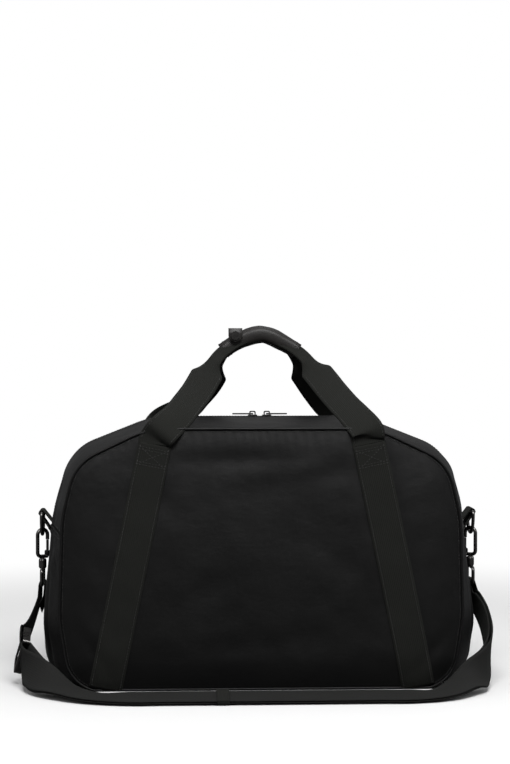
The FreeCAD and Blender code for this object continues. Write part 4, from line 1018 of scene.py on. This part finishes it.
# A leather tab with a round end, curved a little over the wrap.
def makeSnapTab():
    low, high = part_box("snap_tab")
    middleX, half = (low.x + high.x) / 2, (high.x - low.x) / 2
    top, bottom = high.z - 0.0034, low.z
    rows, columns = 31, 15
    z = np.linspace(top, bottom, rows)
    share = np.linspace(-1, 1, columns)
    below = np.clip((bottom + half - z) / half, 0, 1)
    width = half * np.sqrt(np.maximum(1 - below ** 2, 0.0)) + 0.0002
    x = middleX + width[:, None] * share[None]
    zGrid = np.broadcast_to(z[:, None], x.shape)
    front = low.y - 0.0001
    curve = 0.0012 * (share[None] ** 2) + 0.0022 * smoothStep(zGrid, top - 0.006, top + 0.001)
    outer = np.stack([x, front + curve, zGrid], -1)
    inner = outer.copy()
    inner[..., 1] += 0.0014
    uv = np.stack([x, zGrid], -1)
    finishPiece(slab("snapTabLeather", outer, inner, "wrap", uv), "snap_tab", "wrap", "snap_tab")
    angles = np.linspace(math.pi, 2 * math.pi, 20)
    reach = half - 0.0016
    rim = [(middleX - reach, front + 0.001, top - 0.003)]
    rim += [(middleX + reach * math.cos(a), front + 0.0012 * math.cos(a) ** 2 - 0.0002,
             bottom + half + reach * math.sin(a)) for a in angles]
    rim += [(middleX + reach, front + 0.001, top - 0.003)]
    grainsAlong("snapTabStitches", [rim], 0.0024, (0.0005, 0.0005, 0.0019), "thread", "snap_tab", "wrap")


makeSnapTab()
print("grip is wrapped")

# Side tabs and shoulder strap.

tabs = {"half": 0.017, "wall": 0.0014}


# Webbing folded round the ring's bar, its two tails sewn over the gusset's seam.
def makeSideTab(side, word):
    low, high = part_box(f"d_ring_{word}")
    barX, barZ = (low.x + high.x) / 2, high.z - 0.002
    radius = 0.002 + 0.0004 + tabs["wall"] / 2
    foot = np.array((side * 0.2405, 0, gussetSeam - 0.004))
    bar = np.array((barX, 0, barZ))
    lead = unit(bar - foot)
    aside = np.array((lead[2], 0, -lead[0])) * side
    angles = np.linspace(0, math.pi, 9)
    eye = [bar + radius * (aside * math.cos(a) + lead * math.sin(a)) for a in angles]
    outerFoot = foot + aside * 0.0022 + np.array((side * 0.0005, 0, -0.010))
    innerFoot = foot - aside * 0.0008 + np.array((-side * 0.004, 0, 0.004))
    route = [outerFoot, foot + aside * 0.0022 + lead * 0.004] + eye + [innerFoot]
    path = smoothPath(route, 4)
    along = unit(np.gradient(path, axis=0))
    faces = np.cross(along, (0, side, 0))
    if (faces[0] @ np.array((side, 0, 0))) < 0:
        faces = -faces
    piece = strip(f"sideTab{word.capitalize()}Webbing", path, faces, tabs["half"], tabs["wall"], "webbing", 13,
                  None, 0.4)
    finishPiece(piece, "bag", "webbing", f"side_tab_{word}")
    base = foot + aside * (0.0022 + tabs["wall"] / 2 + 0.0002)
    rows = []
    for lift in (-0.004, 0.002, 0.007):
        rows.append([base + lead * lift + np.array((0, y, 0)) for y in np.linspace(-0.014, 0.014, 12)])
    grainsAlong(f"sideTab{word.capitalize()}Stitches", rows, stitch["pitch"], stitch["size"], "thread", "bag",
                "webbing")


makeSideTab(-1, "left")
makeSideTab(1, "right")

baseLow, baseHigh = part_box("hook_base_left")
adjusterLow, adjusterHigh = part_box("strap_adjuster")
keeperLow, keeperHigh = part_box("strap_keeper")

strap = {
    "half": 0.019, "wall": 0.0015, "barX": -(baseLow.x + baseHigh.x) / 2, "barZ": baseLow.z + 0.002,
    "frontY": (keeperLow.y + keeperHigh.y) / 2, "floorZ": (keeperLow.z + keeperHigh.z) / 2,
    "layer": 0.00105, "barSpread": 0.00315, "lean": 0.12, "straight": 0.024, "clear": 0.0003,
    # out from the ring, share of the way forward, share of the way up, the outer face, half the layers' spread
    "left": [(0, 0, 0.87, (-1, 0, 0), 0.00315), (0.004, 0.03, 0.74, (-1, 0.02, 0.1), 0.0022),
             (0.013, 0.14, 0.54, (-1, 0.06, 0.1), 0.00105), (0.017, 0.32, 0.34, (-0.98, 0.08, 0.1), 0.00105),
             (0.003, 0.60, 0.175, (-0.84, 0.10, 0.54), 0.00105), (-0.028, 0.79, 0.060, (-0.16, 0, 0.99), 0.00105),
             (-0.062, 0.93, 0.01, (0, 0, 1), 0.00105), (-0.104, 1, 0, (0, 0, 1), 0.00105)],
    "right": [(0, 0, 0.87, (1, 0, 0), 0.00315), (0.008, 0.05, 0.74, (1, 0.04, 0.1), 0.0022),
              (0.012, 0.22, 0.58, (1, 0.08, 0), 0.0017), (0.010, 0.42, 0.38, (1, 0.12, 0.05), 0.0022),
              (-0.001, 0.60, 0.21, (0.93, 0.10, 0.36), 0.0018), (-0.028, 0.78, 0.085, (0.22, 0, 0.98), 0.00105),
              (-0.056, 0.93, 0.016, (0, 0, 1), 0.00105), (-0.092, 1, 0, (0, 0, 1), 0.00105)],
}


def strapStations(word, side):
    made = []
    for out, forward, up, face, spread in strap[word]:
        point = np.array((side * (strap["barX"] + out), forward * strap["frontY"],
                          strap["floorZ"] + up * (strap["barZ"] - strap["floorZ"])))
        face = np.array(face, float)
        if forward > 0.9:
            settle = smoothStep(forward, 0.9, 1.0)
            point[2] += settle * strap["half"] * math.sin(strap["lean"]) * 0.9
            face = unit(face) + settle * np.array((0, -strap["lean"], 0))
        made.append((point, unit(face), spread))
    return made


# Places over the loop's bar, from its right over its top to its left.
def overBar(x):
    places = []
    for step in range(0, 7):
        angle = math.radians(15 + 25 * step)
        face = np.array((math.cos(angle), 0, math.sin(angle)))
        places.append((np.array((x, 0, strap["barZ"])) + face * strap["barSpread"], face))
    return places


def makeStrap():
    left, right = strapStations("left", -1), strapStations("right", 1)
    adjuster = np.array(((adjusterLow + adjusterHigh) / 2)[:])
    along = unit(left[4][0] - left[2][0])
    face, straight = left[3][1], strap["straight"]
    left[3:4] = [(adjuster + along * reach, face, strap["layer"]) for reach in (-straight, straight)]
    middle = []
    for share in np.linspace(0, 1, 9)[1:-1]:
        a, b = left[-1], right[-1]
        middle.append((a[0] * (1 - share) + b[0] * share, a[1], strap["layer"]))
    stations = left + middle + right[::-1]
    points = np.array([s[0] for s in stations])
    travel = unit(np.gradient(points, axis=0))
    turned = np.array([s[1] for s in stations])
    outward = unit(turned - (turned * travel).sum(1, keepdims=True) * travel)
    spread = np.array([s[2] for s in stations])[:, None]
    outerRun = list(zip(points + outward * spread, outward))
    innerRun = list(zip(points - outward * spread, -outward))
    tail = innerRun[:2][::-1]
    returned = innerRun[5:][::-1]
    returned.append((adjuster - outward[3] * strap["layer"], -outward[3]))
    places = tail + overBar(-strap["barX"]) + outerRun + overBar(strap["barX"]) + returned
    line = np.array([p for p, _ in places])
    faces = np.array([f for _, f in places])
    gaps = np.linalg.norm(np.diff(line, axis=0), axis=1)
    steps = [max(2, int(round(gap / 0.005))) for gap in gaps]
    path, sides = smoothPath(line, steps), smoothPath(faces, steps)
    path[:, 2] = np.maximum(path[:, 2], strap["wall"] / 2 + strap["clear"])
    piece = strip("shoulderStrapWebbing", path, sides, strap["half"], strap["wall"], "strapWebbing", 11, None, 0.4)
    print("strap length", round(float(lengths(path)[-1]), 4))
    return finishPiece(piece, "shoulder_strap", "webbing", "shoulder_strap")


makeStrap()


# A narrow webbing loop round both layers of the strap.
def makeKeeper():
    middleX = (keeperLow.x + keeperHigh.x) / 2
    lean = strap["lean"]
    centreZ = strap["floorZ"] + strap["half"] * math.sin(lean) * 0.9
    half, height, corner = strap["half"] + 0.0012, 0.0031, 0.0014
    ring = []
    for cx, cz, start in ((half - corner, height - corner, 0), (-half + corner, height - corner, 90),
                          (-half + corner, -height + corner, 180), (half - corner, -height + corner, 270)):
        for step in range(5):
            a = math.radians(start + 22.5 * step)
            ring.append((cx + corner * math.cos(a), cz + corner * math.sin(a)))
    ring = np.array(ring)
    outerRing, innerRing = ring, ring * (1 - 0.0012 / np.abs(ring).clip(0.0012, 1) * 0.5)

    def turned(section):
        y, z = section[:, 0], section[:, 1]
        return np.stack([np.zeros(len(y)), y * math.cos(lean) - z * math.sin(lean),
                         z * math.cos(lean) + y * math.sin(lean)], -1)

    columns = np.linspace(-0.007, 0.007, 7)
    place = np.array((middleX, strap["frontY"], centreZ))
    outer = turned(outerRing)[:, None] + place + columns[None, :, None] * np.array((1.0, 0, 0))
    inner = turned(innerRing)[:, None] + place + columns[None, :, None] * np.array((1.0, 0, 0))
    run = lengths(turned(outerRing))[:, None]
    uv = np.stack(np.broadcast_arrays(run, columns[None]), -1)
    piece = slab("strapKeeperWebbing", outer, inner, "webbing", uv, closed=True)
    return finishPiece(piece, "strap_keeper", "webbing", "strap_keeper")


makeKeeper()
print("strap is threaded")

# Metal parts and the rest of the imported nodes.

metal = ("zip_slider", "zip_pull", "d_ring", "hook_", "gate_pin", "strap_adjuster", "adjuster_bar", "snap_cap",
         "snap_stud")
for name, node in cadNodes.items():
    coat = "gunmetal" if name.startswith(metal) else "board" if name == "base_board" else None
    if coat:
        node.data.materials.clear()
        node.data.materials.append(finishes[coat])

reach = studio["floorReach"]
floorMesh = bpy.data.meshes.new("floor")
floorMesh.from_pydata([(-reach, -reach, 0), (reach, -reach, 0), (reach, reach, 0), (-reach, reach, 0)], [],
                      [(0, 1, 2, 3)])
floorMesh.materials.append(finishes["floor"])
floor = bpy.data.objects.new("floor", floorMesh)
bpy.context.scene.collection.objects.link(floor)
